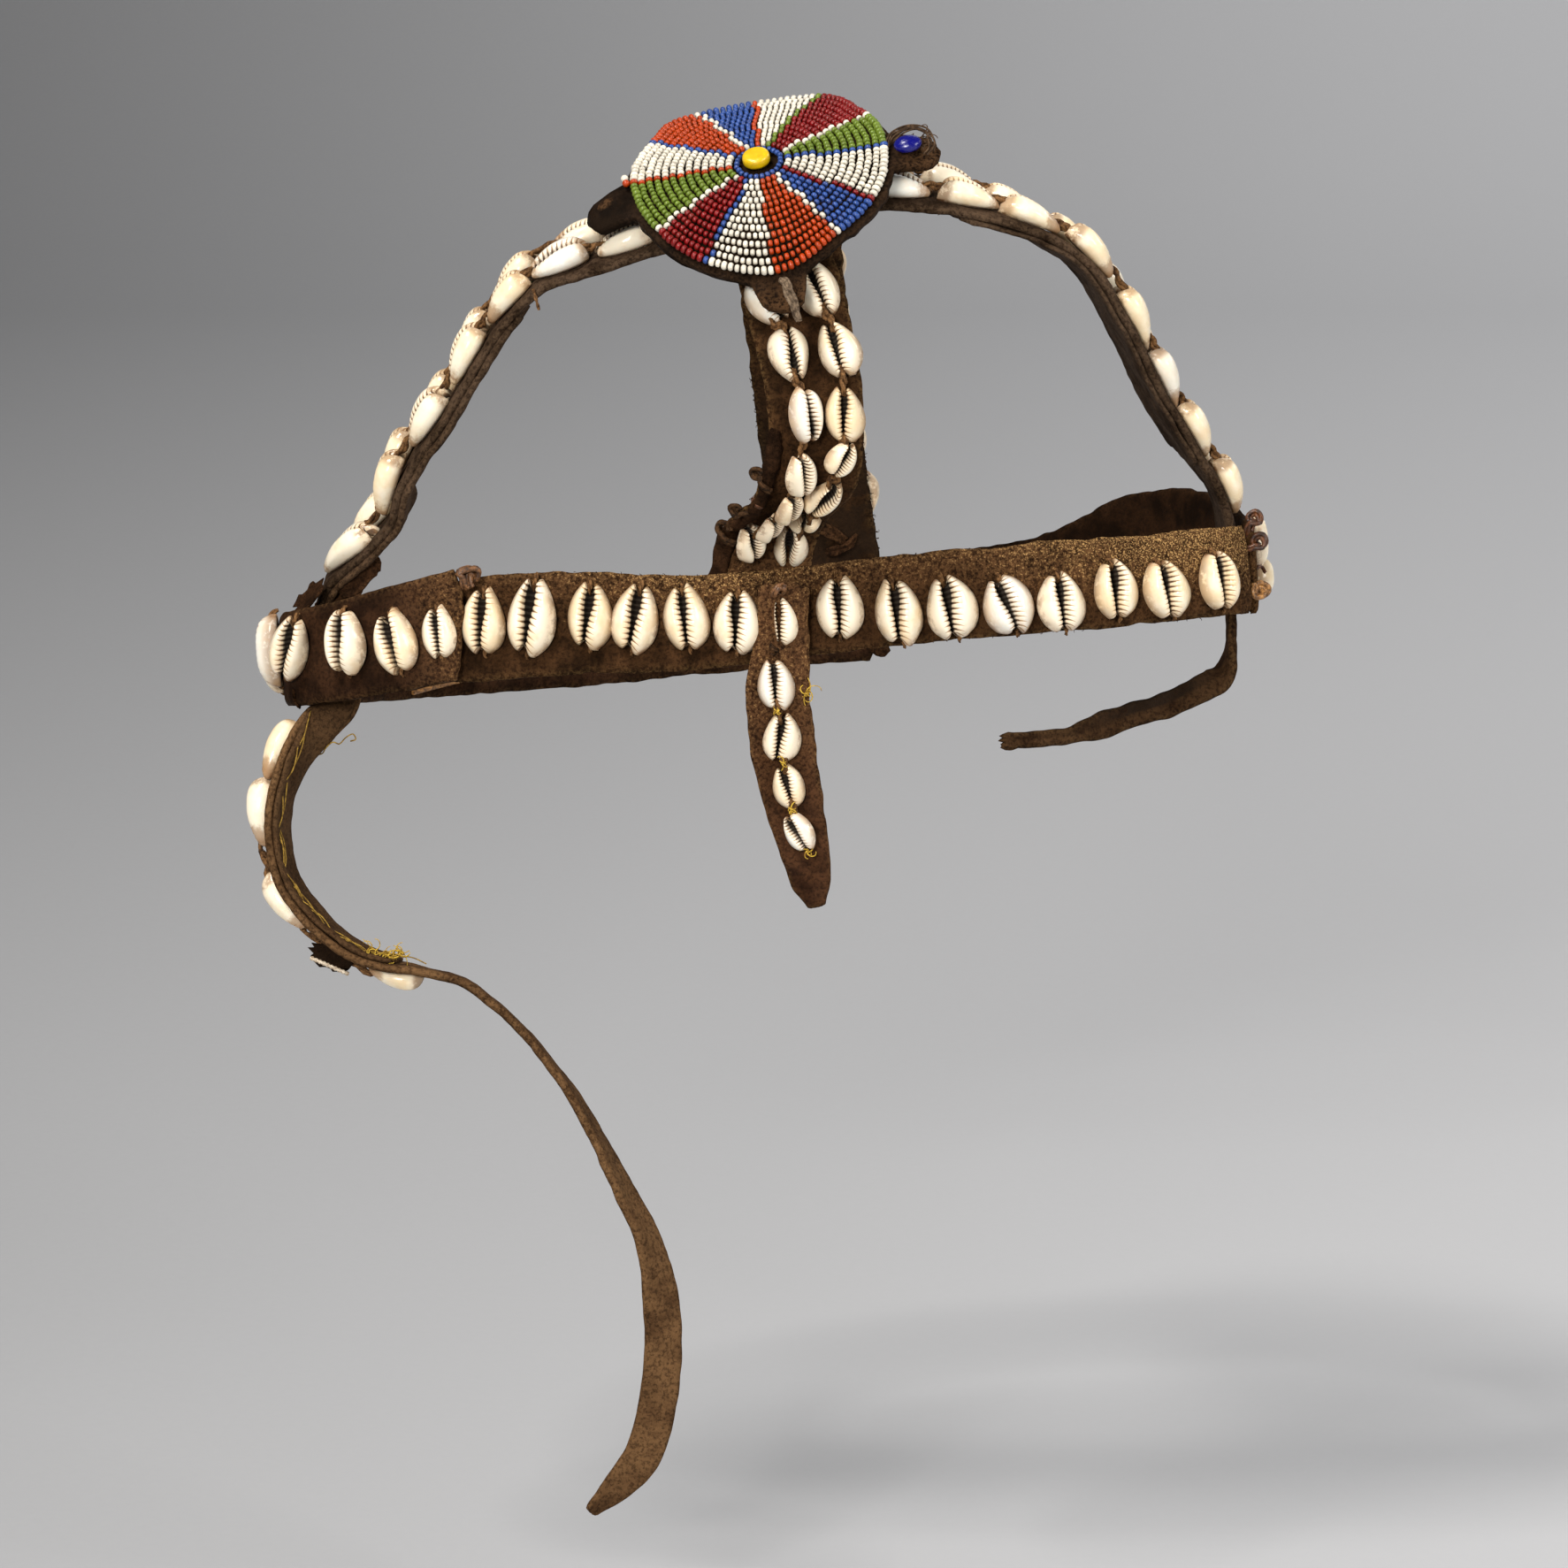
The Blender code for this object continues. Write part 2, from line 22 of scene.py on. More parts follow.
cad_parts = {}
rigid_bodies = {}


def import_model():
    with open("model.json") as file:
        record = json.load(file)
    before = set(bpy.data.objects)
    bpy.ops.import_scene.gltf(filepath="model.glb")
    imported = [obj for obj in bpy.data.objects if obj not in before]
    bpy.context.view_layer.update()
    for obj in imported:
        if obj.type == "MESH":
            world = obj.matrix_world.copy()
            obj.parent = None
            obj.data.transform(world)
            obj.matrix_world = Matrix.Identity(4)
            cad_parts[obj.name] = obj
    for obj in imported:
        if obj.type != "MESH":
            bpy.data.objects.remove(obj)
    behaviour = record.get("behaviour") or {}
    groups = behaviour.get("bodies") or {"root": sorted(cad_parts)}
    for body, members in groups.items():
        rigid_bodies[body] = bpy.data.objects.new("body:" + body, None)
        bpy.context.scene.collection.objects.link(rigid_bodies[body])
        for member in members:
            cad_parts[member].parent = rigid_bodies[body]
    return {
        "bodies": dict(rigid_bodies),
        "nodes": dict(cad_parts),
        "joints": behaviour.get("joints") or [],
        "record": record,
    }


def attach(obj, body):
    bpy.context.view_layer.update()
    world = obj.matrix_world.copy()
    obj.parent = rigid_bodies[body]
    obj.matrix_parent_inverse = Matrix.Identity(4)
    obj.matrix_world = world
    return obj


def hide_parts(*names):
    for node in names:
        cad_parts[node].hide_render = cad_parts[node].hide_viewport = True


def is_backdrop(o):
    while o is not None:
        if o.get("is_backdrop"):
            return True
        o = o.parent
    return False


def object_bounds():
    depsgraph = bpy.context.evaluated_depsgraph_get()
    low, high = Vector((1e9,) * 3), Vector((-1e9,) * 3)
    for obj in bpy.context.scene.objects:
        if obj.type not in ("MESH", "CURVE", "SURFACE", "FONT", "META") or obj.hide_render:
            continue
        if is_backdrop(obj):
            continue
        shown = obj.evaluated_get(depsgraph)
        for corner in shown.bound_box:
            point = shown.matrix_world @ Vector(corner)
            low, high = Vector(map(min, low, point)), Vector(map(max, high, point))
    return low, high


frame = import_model()
CAD_BOX = [list(corner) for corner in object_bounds()]
MM = 0.001
print("The solid model has", len(frame["nodes"]), "pieces")

# %% [markdown]
# A finish is a small network of nodes. Writing sums such as `1 - mask` is easier to read than
# wiring Math nodes by hand, so `Number` wraps a socket and turns Python's operators into Math nodes.
# Colours must not go through a Math node, which would turn them grey, so they have `blend`.

# %% Sums on surfaces
class Number:
    """A value that varies over a surface. Its operators add Math nodes."""

    def __init__(self, finish, socket):
        self.finish = finish
        self.socket = socket

    def math(self, operation, *values):
        return self.finish.node("ShaderNodeMath", {"operation": operation},
                                dict(enumerate(values)))

    def alone(self, operation):
        return self.math(operation, self)

    def __add__(self, other):
        return self.math("ADD", self, other)

    def __sub__(self, other):
        return self.math("SUBTRACT", self, other)

    def __rsub__(self, other):
        return self.math("SUBTRACT", other, self)

    def __mul__(self, other):
        return self.math("MULTIPLY", self, other)

    def __truediv__(self, other):
        return self.math("DIVIDE", self, other)

    __radd__ = __add__
    __rmul__ = __mul__

    def rise(self, low, high):
        """A soft step: 0 below low and 1 above high."""
        return self.finish.node("ShaderNodeMapRange", {"interpolation_type": "SMOOTHSTEP"},
                                {"Value": self, "From Min": low, "From Max": high})


# %% [markdown]
# `Finish` is a material being built. `node` adds any node by its settings and sockets, and the other
# methods are the few that are needed again and again: a value kept on the mesh, noise, and a blend
# of two colours. Last comes `complete`, which feeds the shader and stacks the reliefs.

# %% A finish
class Finish:
    """A material built of nodes."""

    def __init__(self, name, **constants):
        self.material = bpy.data.materials.new(name)
        self.material.use_nodes = True
        self.nodes = self.material.node_tree.nodes
        self.links = self.material.node_tree.links
        self.shader = self.nodes["Principled BSDF"]
        for socket, value in constants.items():
            self.shader.inputs[socket.replace("_", " ")].default_value = value

    def feed(self, socket, value):
        if isinstance(value, Number):
            self.links.new(value.socket, socket)
        else:
            socket.default_value = value

    def node(self, kind, settings, sockets, output=0):
        """Any node: its settings first, then what its sockets hold. It gives one output."""
        made = self.nodes.new(kind)
        for name, value in settings.items():
            setattr(made, name, value)
        for name, value in sockets.items():
            self.feed(made.inputs[name], value)
        return Number(self, made.outputs[output])

    def stored(self, name, output="Fac"):
        return self.node("ShaderNodeAttribute", {"attribute_name": name}, {}, output)

    def spots(self, size, detail=3.0, rough=0.55, stretch=(1, 1, 1), seed=0.0):
        """Noise with features of a size in millimetres, from 0 to 1."""
        place = self.node("ShaderNodeTexCoord", {}, {}, "Object")
        place = self.node("ShaderNodeMapping", {}, {"Vector": place, "Scale": stretch,
                                                    "Location": (seed, seed, 0)})
        return self.node("ShaderNodeTexNoise", {}, {"Vector": place, "Scale": 1 / (size * MM),
                                                    "Detail": detail, "Roughness": rough})

    def blend(self, share, first, second):
        """Colour that goes from the first to the second as share goes from 0 to 1."""
        return self.node("ShaderNodeMix", {"data_type": "RGBA"},
                         {0: share, 6: first, 7: second}, 2)

    def complete(self, colour, roughness, *reliefs):
        """Feed the shader. A relief is a height from 0 to 1 and its depth in millimetres."""
        self.feed(self.shader.inputs["Base Color"], colour)
        self.feed(self.shader.inputs["Roughness"], roughness)
        normal = None
        for height, depth in reliefs:
            sockets = {"Height": height, "Distance": depth * MM, "Strength": 1.0}
            if normal is not None:
                sockets["Normal"] = normal
            normal = self.node("ShaderNodeBump", {}, sockets)
        if normal is not None:
            self.feed(self.shader.inputs["Normal"], normal)
        print("Finish", self.material.name, "has", len(self.nodes), "nodes")
        return self


# %% [markdown]
# Each new piece stands for one or more pieces of the solid model, which are then hidden. It rides
# on the root body, and its finish is its only material. Every piece needs the same few steps, so one
# function takes them all, and no piece can miss one.

# %% Put a piece on the headdress
def new_object(name, data):
    """An object in the scene that holds a mesh, a curve, a light or a camera."""
    made = bpy.data.objects.new(name, data)
    bpy.context.scene.collection.objects.link(made)
    return made


def add_piece(name, mesh, finish, *nodes):
    """Make a mesh or a bmesh into a piece that stands for some nodes of the solid model."""
    if isinstance(mesh, bmesh.types.BMesh):
        made = bpy.data.meshes.new(name)
        mesh.to_mesh(made)
        mesh.free()
        mesh = made
    mesh.shade_smooth()
    mesh.materials.clear()
    mesh.materials.append(finish.material)
    piece = new_object(name, mesh)
    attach(piece, "root")
    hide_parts(*nodes)
    print(name, "has", len(mesh.polygons), "faces")
    return piece


# %% [markdown]
# A strap is a list of stations in millimetres: a point of its middle line, its width, and the
# direction of its width as a yaw and a rise in degrees. A curve object with a flat bevel would also
# give a strap, but it twists by a rule of its own, and old leather turns where it likes. So a smooth
# curve goes through the stations, and a frame travels along it: `along` follows the strap, `side`
# its width, `out` its outer face. Leather, shells and thread can all ask for the frame they lie on.

# %% Lay out the straps
Station = namedtuple("Station", "x y z width yaw rise")
Frame = namedtuple("Frame", "travelled middle along side out width")

LEATHER = 2.6          # thickness of the band and straps
STEP = 0.7             # from one row of points to the next along a strap
UPRIGHT = (108.0, 77.0)    # the yaw and rise of the head band's width, which stands nearly upright


def soft(value, low, high):
    """A soft step in plain numbers."""
    t = min(1.0, max(0.0, (value - low) / (high - low)))
    return t * t * (3 - 2 * t)


def smooth_route(stations, step):
    """Even places on a smooth curve through the stations, with every column carried along."""
    knots = [0.0]
    for here, there in zip(stations, stations[1:]):
        knots.append(knots[-1] + math.dist(here[:3], there[:3]))
    last = len(stations) - 1
    slopes = []
    for i in range(last + 1):
        before, after = max(i - 1, 0), min(i + 1, last)
        reach = knots[after] - knots[before]
        slopes.append([(b - a) / reach for a, b in zip(stations[before], stations[after])])
    count = round(knots[-1] / step)
    places = []
    leg = 0
    for k in range(count + 1):
        position = knots[-1] * k / count
        while leg < last - 1 and position > knots[leg + 1]:
            leg += 1
        length = knots[leg + 1] - knots[leg]
        t = (position - knots[leg]) / length
        rest, pull = 2 * t**3 - 3 * t**2 + 1, t**3 - 2 * t**2 + t
        arrive, push = 3 * t**2 - 2 * t**3, t**3 - t**2
        places.append(Station(*(
            rest * a + pull * length * slope_a + arrive * b + push * length * slope_b
            for a, slope_a, b, slope_b in zip(
                stations[leg], slopes[leg], stations[leg + 1], slopes[leg + 1]))))
    return places


def lay_strap(stations, by_edge=False):
    """The frames of a strap; with by_edge the stations follow its first edge, not its middle."""
    places = smooth_route(stations, STEP)
    points = [Vector(place[:3]) for place in places]
    last = len(points) - 1
    frames = []
    travelled = 0.0
    for i, place in enumerate(places):
        along = (points[min(i + 1, last)] - points[max(i - 1, 0)]).normalized()
        yaw, rise = math.radians(place.yaw), math.radians(place.rise)
        side = Vector((math.cos(yaw) * math.cos(rise), math.sin(yaw) * math.cos(rise),
                       math.sin(rise)))
        side = (side - side.dot(along) * along).normalized()
        middle = points[i] + side * (place.width / 2 if by_edge else 0.0)
        if frames:
            travelled += (middle - frames[-1].middle).length
        frames.append(Frame(travelled, middle, along, side, side.cross(along), place.width))
    return frames


def frame_at(frames, travelled):
    """The frame at a distance along the strap, between the two nearest."""
    i = 0
    while i < len(frames) - 2 and frames[i + 1].travelled < travelled:
        i += 1
    here, there = frames[i], frames[i + 1]
    t = (travelled - here.travelled) / (there.travelled - here.travelled)
    middle, along, side, out = (
        getattr(here, field).lerp(getattr(there, field), t)
        for field in ("middle", "along", "side", "out"))
    width = here.width + (there.width - here.width) * t
    return Frame(travelled, middle, along.normalized(), side.normalized(), out.normalized(), width)


# %% [markdown]
# The routes come next. Each row is one station, in the order of Station's columns: x, y and z, then
# the width, the yaw and the rise. The head band always stands upright, so its rows leave the last
# two out.

# %% The route of the head band
def band(*rows):
    return [Station(*row, *UPRIGHT) for row in rows]


# The head band goes right round: its front from right to left, its left to the back, and home
BAND_FRONT = band(
    (107.0, 11.5, -79.6, 19.2),
    (101.5, 5.3, -78.9, 19.2),
    (88.5, -1.4, -79.1, 19.2),
    (65.5, -8.2, -79.8, 19.4),
    (27.5, -13.1, -82.3, 19.2),
    (5.5, -13.9, -84.9, 19.4),
    (-14.5, -14.1, -86.7, 20.4),
    (-48.5, -11.4, -87.7, 22.4),
    (-80.0, -5.0, -92.6, 21.0),
)
BAND_LEFT = band(
    (-65.4, -12.1, -87.6, 23.4),
    (-77.6, -9.2, -91.1, 22.6),
    (-90.5, -3.4, -94.9, 21.4),
    (-99.8, 4.4, -97.8, 20.8),
    (-103.6, 14.5, -100.3, 20.0),
    (-103.0, 35.0, -104.7, 19.5),
    (-94.5, 61.6, -109.6, 19.5),
    (-74.5, 84.5, -112.5, 19.5),
    (-39.5, 104.7, -113.7, 19.5),
    (-8.5, 112.7, -111.8, 20.0),
    (27.0, 112.8, -108.9, 20.0),
)
BAND_RIGHT = band(
    (-0.5, 117.4, -107.1, 19.0),
    (27.5, 117.2, -105.0, 19.0),
    (51.5, 109.9, -101.5, 19.0),
    (69.5, 100.8, -96.0, 19.0),
    (88.5, 88.2, -84.6, 19.0),
    (102.5, 65.3, -81.2, 19.0),
    (108.0, 39.9, -82.0, 19.2),
    (108.0, 21.8, -80.7, 19.2),
    (107.6, 12.9, -79.6, 19.2),
)
print("The head band has", len(BAND_FRONT + BAND_LEFT + BAND_RIGHT), "stations")

# %% [markdown]
# Three more straps start at the band: one runs from ear to ear, one from front to back over the
# crown, and a short flap hangs in front. The ear strap follows its front edge, which is the one that
# shows, with its width running backwards. That width never changes, so its rows leave it out.

# %% The routes of the straps over the crown
# From the right ear to the left: x, y, z, yaw and rise
EAR_WIDTH = 22.0
EAR_STRAP = [Station(*row[:3], EAR_WIDTH, *row[3:]) for row in (
    (103.9, 14.4, -79.5, 93.0, 0.0),
    (103.4, 14.0, -71.0, 94.0, -3.0),
    (101.2, 11.4, -64.0, 95.0, -6.0),
    (96.2, 8.2, -54.8, 96.0, -7.0),
    (87.9, 3.8, -40.8, 96.0, -7.0),
    (79.9, 0.0, -25.4, 95.0, -7.0),
    (71.6, -3.2, -11.9, 94.0, -7.0),
    (62.8, -5.2, -5.5, 92.0, -5.0),
    (48.1, -7.8, -0.6, 91.0, 6.0),
    (30.0, -9.4, 1.8, 90.0, 13.0),
    (12.0, -10.2, 0.1, 90.0, 18.0),
    (0.0, -10.5, -2.4, 90.0, 20.0),
    (-18.8, -11.0, -6.9, 90.0, 18.0),
    (-36.3, -10.4, -12.4, 90.0, 15.0),
    (-45.9, -9.7, -15.8, 90.0, 12.0),
    (-52.4, -9.0, -21.4, 90.0, 8.0),
    (-58.8, -8.0, -30.4, 90.0, 4.0),
    (-67.8, -5.4, -45.5, 90.0, 3.0),
    (-73.4, -3.4, -53.4, 90.0, 2.0),
    (-77.6, -1.0, -61.4, 90.0, 2.0),
    (-79.6, 0.8, -68.4, 90.0, 2.0),
    (-86.0, 3.8, -75.8, 90.0, 2.0),
    (-94.0, 7.4, -83.6, 90.0, 0.0),
    (-97.7, 9.6, -97.5, 90.0, 0.0),
)]
# From the front band up over the crossing and down to the back band
CROWN_STRAP = [Station(*row) for row in (
    (-0.3, -12.2, -93.0, 20.5, 0.0, 2.0),
    (0.7, -8.9, -77.3, 20.5, 0.0, 2.0),
    (1.4, -8.1, -72.4, 20.5, 0.0, 0.0),
    (2.6, -9.8, -68.0, 20.0, 0.0, 0.0),
    (5.0, -14.6, -63.8, 20.0, 0.0, 6.0),
    (8.3, -20.6, -59.4, 20.0, 0.0, 9.0),
    (10.8, -25.4, -54.0, 20.0, 0.0, 7.0),
    (12.2, -27.8, -46.6, 20.2, 0.0, 3.0),
    (11.8, -26.8, -34.5, 20.4, 0.0, 0.0),
    (9.2, -22.4, -22.6, 20.8, 0.0, 4.0),
    (6.0, -16.8, -10.6, 21.2, 0.0, 9.0),
    (2.6, -12.7, 0.1, 22.0, 0.0, 11.0),
    (0.4, -2.9, 7.0, 22.0, 0.0, 11.0),
    (0.0, 8.2, 10.6, 22.0, 0.0, 10.0),
    (1.5, 24.0, 12.0, 22.5, 0.0, 7.0),
    (3.0, 44.0, 8.0, 23.0, 0.0, 5.0),
    (4.5, 65.0, -1.5, 23.5, 0.0, 3.0),
    (6.5, 83.0, -17.0, 24.0, 0.0, 2.0),
    (8.5, 97.0, -37.0, 24.0, 0.0, 2.0),
    (11.0, 106.0, -59.0, 24.0, 0.0, 2.0),
    (14.0, 110.6, -81.0, 23.5, 0.0, 2.0),
    (17.0, 110.9, -97.0, 22.5, 0.0, 2.0),
    (17.7, 109.0, -112.0, 21.0, 0.0, 2.0),
)]
# From the tip up over the front of the band
PENDANT_STRAP = [Station(*row) for row in (
    (12.6, -25.2, -147.0, 4.0, 0.0, 0.0),
    (11.4, -24.0, -141.5, 8.4, 0.0, 0.0),
    (9.1, -22.2, -131.0, 11.6, 0.0, 0.0),
    (6.8, -21.0, -121.5, 13.2, -4.0, 0.0),
    (5.0, -20.2, -111.0, 14.0, 0.0, 0.0),
    (4.2, -19.9, -100.5, 13.6, 0.0, 0.0),
    (4.6, -19.4, -95.6, 13.0, 0.0, 0.0),
    (5.2, -18.2, -88.0, 11.6, 0.0, 0.0),
    (5.4, -16.2, -76.9, 10.2, 0.0, 0.0),
)]
print("The crown strap has", len(CROWN_STRAP), "stations")

# %% [markdown]
# Two chin straps hang from the band. The long one curls at its top and narrows to a lace, and the
# short one ends in a free tip.

# %% The routes of the chin straps
# From the band down, round the curl, and along the lace that ends it
LONG_CHIN_STRAP = [Station(*row) for row in (
    (-90.6, 6.6, -98.0, 9.8, -33.0, 0.0),
    (-91.0, 6.2, -104.6, 9.0, -28.0, 0.0),
    (-92.0, 5.4, -108.4, 8.8, -12.0, 0.0),
    (-95.4, 3.6, -112.2, 8.8, 18.0, 0.0),
    (-98.8, 1.6, -116.4, 9.8, 44.0, 0.0),
    (-101.8, -0.2, -121.4, 11.0, 62.0, 0.0),
    (-104.2, -1.6, -128.4, 11.2, 72.0, 0.0),
    (-104.7, -3.2, -136.0, 11.2, 76.0, 0.0),
    (-103.2, -5.0, -144.1, 11.0, 78.0, 0.0),
    (-99.2, -6.8, -150.4, 11.0, 80.0, 0.0),
    (-94.2, -8.4, -155.6, 10.8, 82.0, -2.0),
    (-88.2, -9.9, -160.0, 10.6, 86.0, -4.0),
    (-81.4, -10.9, -162.4, 10.2, 90.0, -5.0),
    (-74.0, -12.0, -163.3, 9.6, 90.0, -10.0),
    (-62.8, -13.8, -166.3, 9.0, 90.0, -12.0),
    (-49.3, -17.2, -177.5, 8.2, 90.0, -10.0),
    (-38.2, -21.3, -191.9, 8.0, 84.0, -6.0),
    (-29.6, -25.7, -207.6, 8.2, 72.0, 0.0),
    (-22.9, -29.0, -221.5, 8.2, 52.0, 0.0),
    (-20.5, -33.4, -238.0, 8.4, 20.0, 0.0),
    (-21.6, -37.6, -253.0, 8.2, 6.0, 0.0),
    (-25.0, -40.2, -265.0, 8.2, 0.0, 4.0),
    (-30.8, -41.6, -272.4, 6.4, 10.0, 16.0),
    (-36.3, -42.6, -277.7, 3.0, 20.0, 24.0),
)]
# From inside the band down and across to its free tip
SHORT_CHIN_STRAP = [Station(*row) for row in (
    (103.8, 20.6, -84.5, 8.0, 90.0, 0.0),
    (104.1, 17.4, -96.2, 8.0, 90.0, 4.0),
    (103.2, 14.6, -100.4, 7.6, 90.0, 14.0),
    (100.8, 11.2, -104.0, 7.0, 92.0, 34.0),
    (95.6, 7.6, -106.2, 5.8, 96.0, 56.0),
    (89.0, 4.2, -108.2, 5.6, 100.0, 68.0),
    (79.1, 0.0, -110.5, 5.0, 100.0, 72.0),
    (73.4, -3.2, -111.8, 5.6, 100.0, 74.0),
    (67.1, -6.4, -113.1, 3.6, 100.0, 76.0),
    (51.6, -12.6, -113.2, 3.4, 100.0, 78.0),
)]

STRAPS = {
    "band_front": lay_strap(BAND_FRONT),
    "band_left": lay_strap(BAND_LEFT),
    "band_right": lay_strap(BAND_RIGHT),
    "ear_strap": lay_strap(EAR_STRAP, by_edge=True),
    "crown_strap": lay_strap(CROWN_STRAP),
    "pendant_strap": lay_strap(PENDANT_STRAP),
    "long_chin_strap": lay_strap(LONG_CHIN_STRAP),
    "short_chin_strap": lay_strap(SHORT_CHIN_STRAP),
}
for name, frames in STRAPS.items():
    print(name, "is", round(frames[-1].travelled), "mm long in", len(frames), "frames")

# %% [markdown]
# The leather is old hide with its rough side out. Its colour wanders from nearly black to a warm
# brown, golden dust sits in the nap where `worn` says so, and the low places of the nap are painted
# dark as painted shade. A painted image could hold all that, but noise needs no unwrapping and
# neither stretches nor repeats where a strap bends. A strip keeps two values at each point: `edge`,
# which is 1 along its cut edges, and `worn`, which is below 0 where the hide is painted darker, for
# grease and for painted shade on inner faces that lie in shade. Three depths of relief finish it:
# blots, nap and grain.

# %% The finish of leather
def leather_finish(name, dark, middle, dust, nap_depth=0.35, gloss=0.0, seed=0.0,
                   pale=(0.140, 0.068, 0.028, 1)):
    """Hide is nearly without shine, or its nap would look grey."""
    hide = Finish(name, Specular_IOR_Level=0.04)
    broad = hide.spots(12, 3, 0.6, seed=seed)
    blots = hide.spots(4.5, 3, 0.6, seed=seed + 0.5)
    nap = hide.spots(0.75, 4, 0.7, seed=seed)
    grain = hide.spots(0.34, 2, 0.6, seed=seed)
    edge, worn = hide.stored("edge"), hide.stored("worn")
    colour = hide.blend((broad * 0.5 + blots * 0.5).rise(0.38, 0.60), dark, middle)
    colour = hide.blend(worn.rise(0.1, 0.6) * nap.rise(0.3, 0.6) * 0.45, colour, pale)
    # Painted shade: nearly black in the low places of the nap.
    colour = hide.blend((1 - nap.rise(0.36, 0.56)) * 0.6, colour, (0.006, 0.0028, 0.0013, 1))
    dusty = grain.rise(0.50, 0.64) * (nap + worn * 0.44 - 0.12).rise(0.60, 0.82)
    colour = hide.blend(dusty * (blots + worn * 0.45 - 0.08).rise(0.42, 0.74), colour, dust)
    colour = hide.blend(edge * nap.rise(0.4, 0.7) * 0.22, colour, dust)
    # Painted darkness in blots where worn is below 0: grease, and painted shade on inner faces.
    grease_and_shade = (0 - worn).rise(0.0, 1.0) * blots.rise(0.3, 0.5)
    colour = hide.blend(grease_and_shade * 0.85, colour, (0.012, 0.007, 0.004, 1))
    rough = 0.92 - gloss * broad.rise(0.4, 0.6) * (1 - worn)
    return hide.complete(colour, rough, (blots, 0.5), (nap, nap_depth), (grain, nap_depth * 0.4))


ROUGH_HIDE = leather_finish("rough_hide", (0.017, 0.0078, 0.0030, 1), (0.056, 0.0255, 0.0100, 1),
                            (0.42, 0.25, 0.095, 1))
STRAP_HIDE = leather_finish("strap_hide", (0.024, 0.0135, 0.0072, 1), (0.074, 0.045, 0.027, 1),
                            (0.15, 0.095, 0.05, 1), gloss=0.2, seed=0.9)
DARK_LACE_HIDE = leather_finish("dark_lace_hide", (0.014, 0.0062, 0.0026, 1),
                                (0.048, 0.0245, 0.0105, 1), (0.15, 0.09, 0.035, 1),
                                nap_depth=0.3, gloss=0.2, seed=1.1)
# The back of the band is painted nearly black: painted shade on its inner face.
BACK_BAND_SHADE_HIDE = leather_finish("back_band_shade_hide", (0.006, 0.0026, 0.001, 1), (0.019, 0.008, 0.003, 1),
                           (0.10, 0.05, 0.018, 1), gloss=0.2, seed=0.3)
SMOOTH_HIDE = leather_finish("smooth_hide", (0.014, 0.0062, 0.003, 1), (0.037, 0.016, 0.007, 1),
                             (0.28, 0.16, 0.06, 1), nap_depth=0.18, gloss=0.3, seed=0.2)
RED_HIDE = leather_finish("red_hide", (0.020, 0.0082, 0.004, 1), (0.062, 0.026, 0.011, 1),
                          (0.36, 0.21, 0.08, 1), nap_depth=0.25, gloss=0.3, seed=0.4)
LACE_HIDE = leather_finish("lace_hide", (0.060, 0.030, 0.013, 1), (0.120, 0.063, 0.027, 1),
                           (0.25, 0.14, 0.06, 1), nap_depth=0.22, gloss=0.1, seed=0.6)
TORN_HIDE = leather_finish("torn_hide", (0.012, 0.0055, 0.0026, 1), (0.045, 0.020, 0.0088, 1),
                           (0.17, 0.08, 0.032, 1), nap_depth=0.6, seed=0.7)
DISC_HIDE = leather_finish("disc_hide", (0.007, 0.0045, 0.003, 1), (0.022, 0.0115, 0.006, 1),
                           (0.085, 0.045, 0.022, 1), nap_depth=0.28, gloss=0.4, seed=0.8)

# %% [markdown]
# A strip of leather starts as a flat grid, one row of points for each frame. Each point moves to
# its frame, and slow and fine noise lifts it, wavers its edges and frays its ends. An outline could
# be extruded instead, but it would have no points between its edges to lift. A Solidify modifier
# then gives the sheet its thickness, half on each side, and a vertex group thins it towards its
# edges so that they look cut and rubbed and not like a plank.

# %% Strips of leather
WAVER, SWAY = 3.6, 11          # lengths of the short and the long waves of a cut edge
FRAY_REACH = 5                 # how far from its end a strip frays
FOLD_SIZE, PUCKER_SIZE = 6, 1.7
RIM_WIDTH = 0.9                # of the rubbed rim at the ends


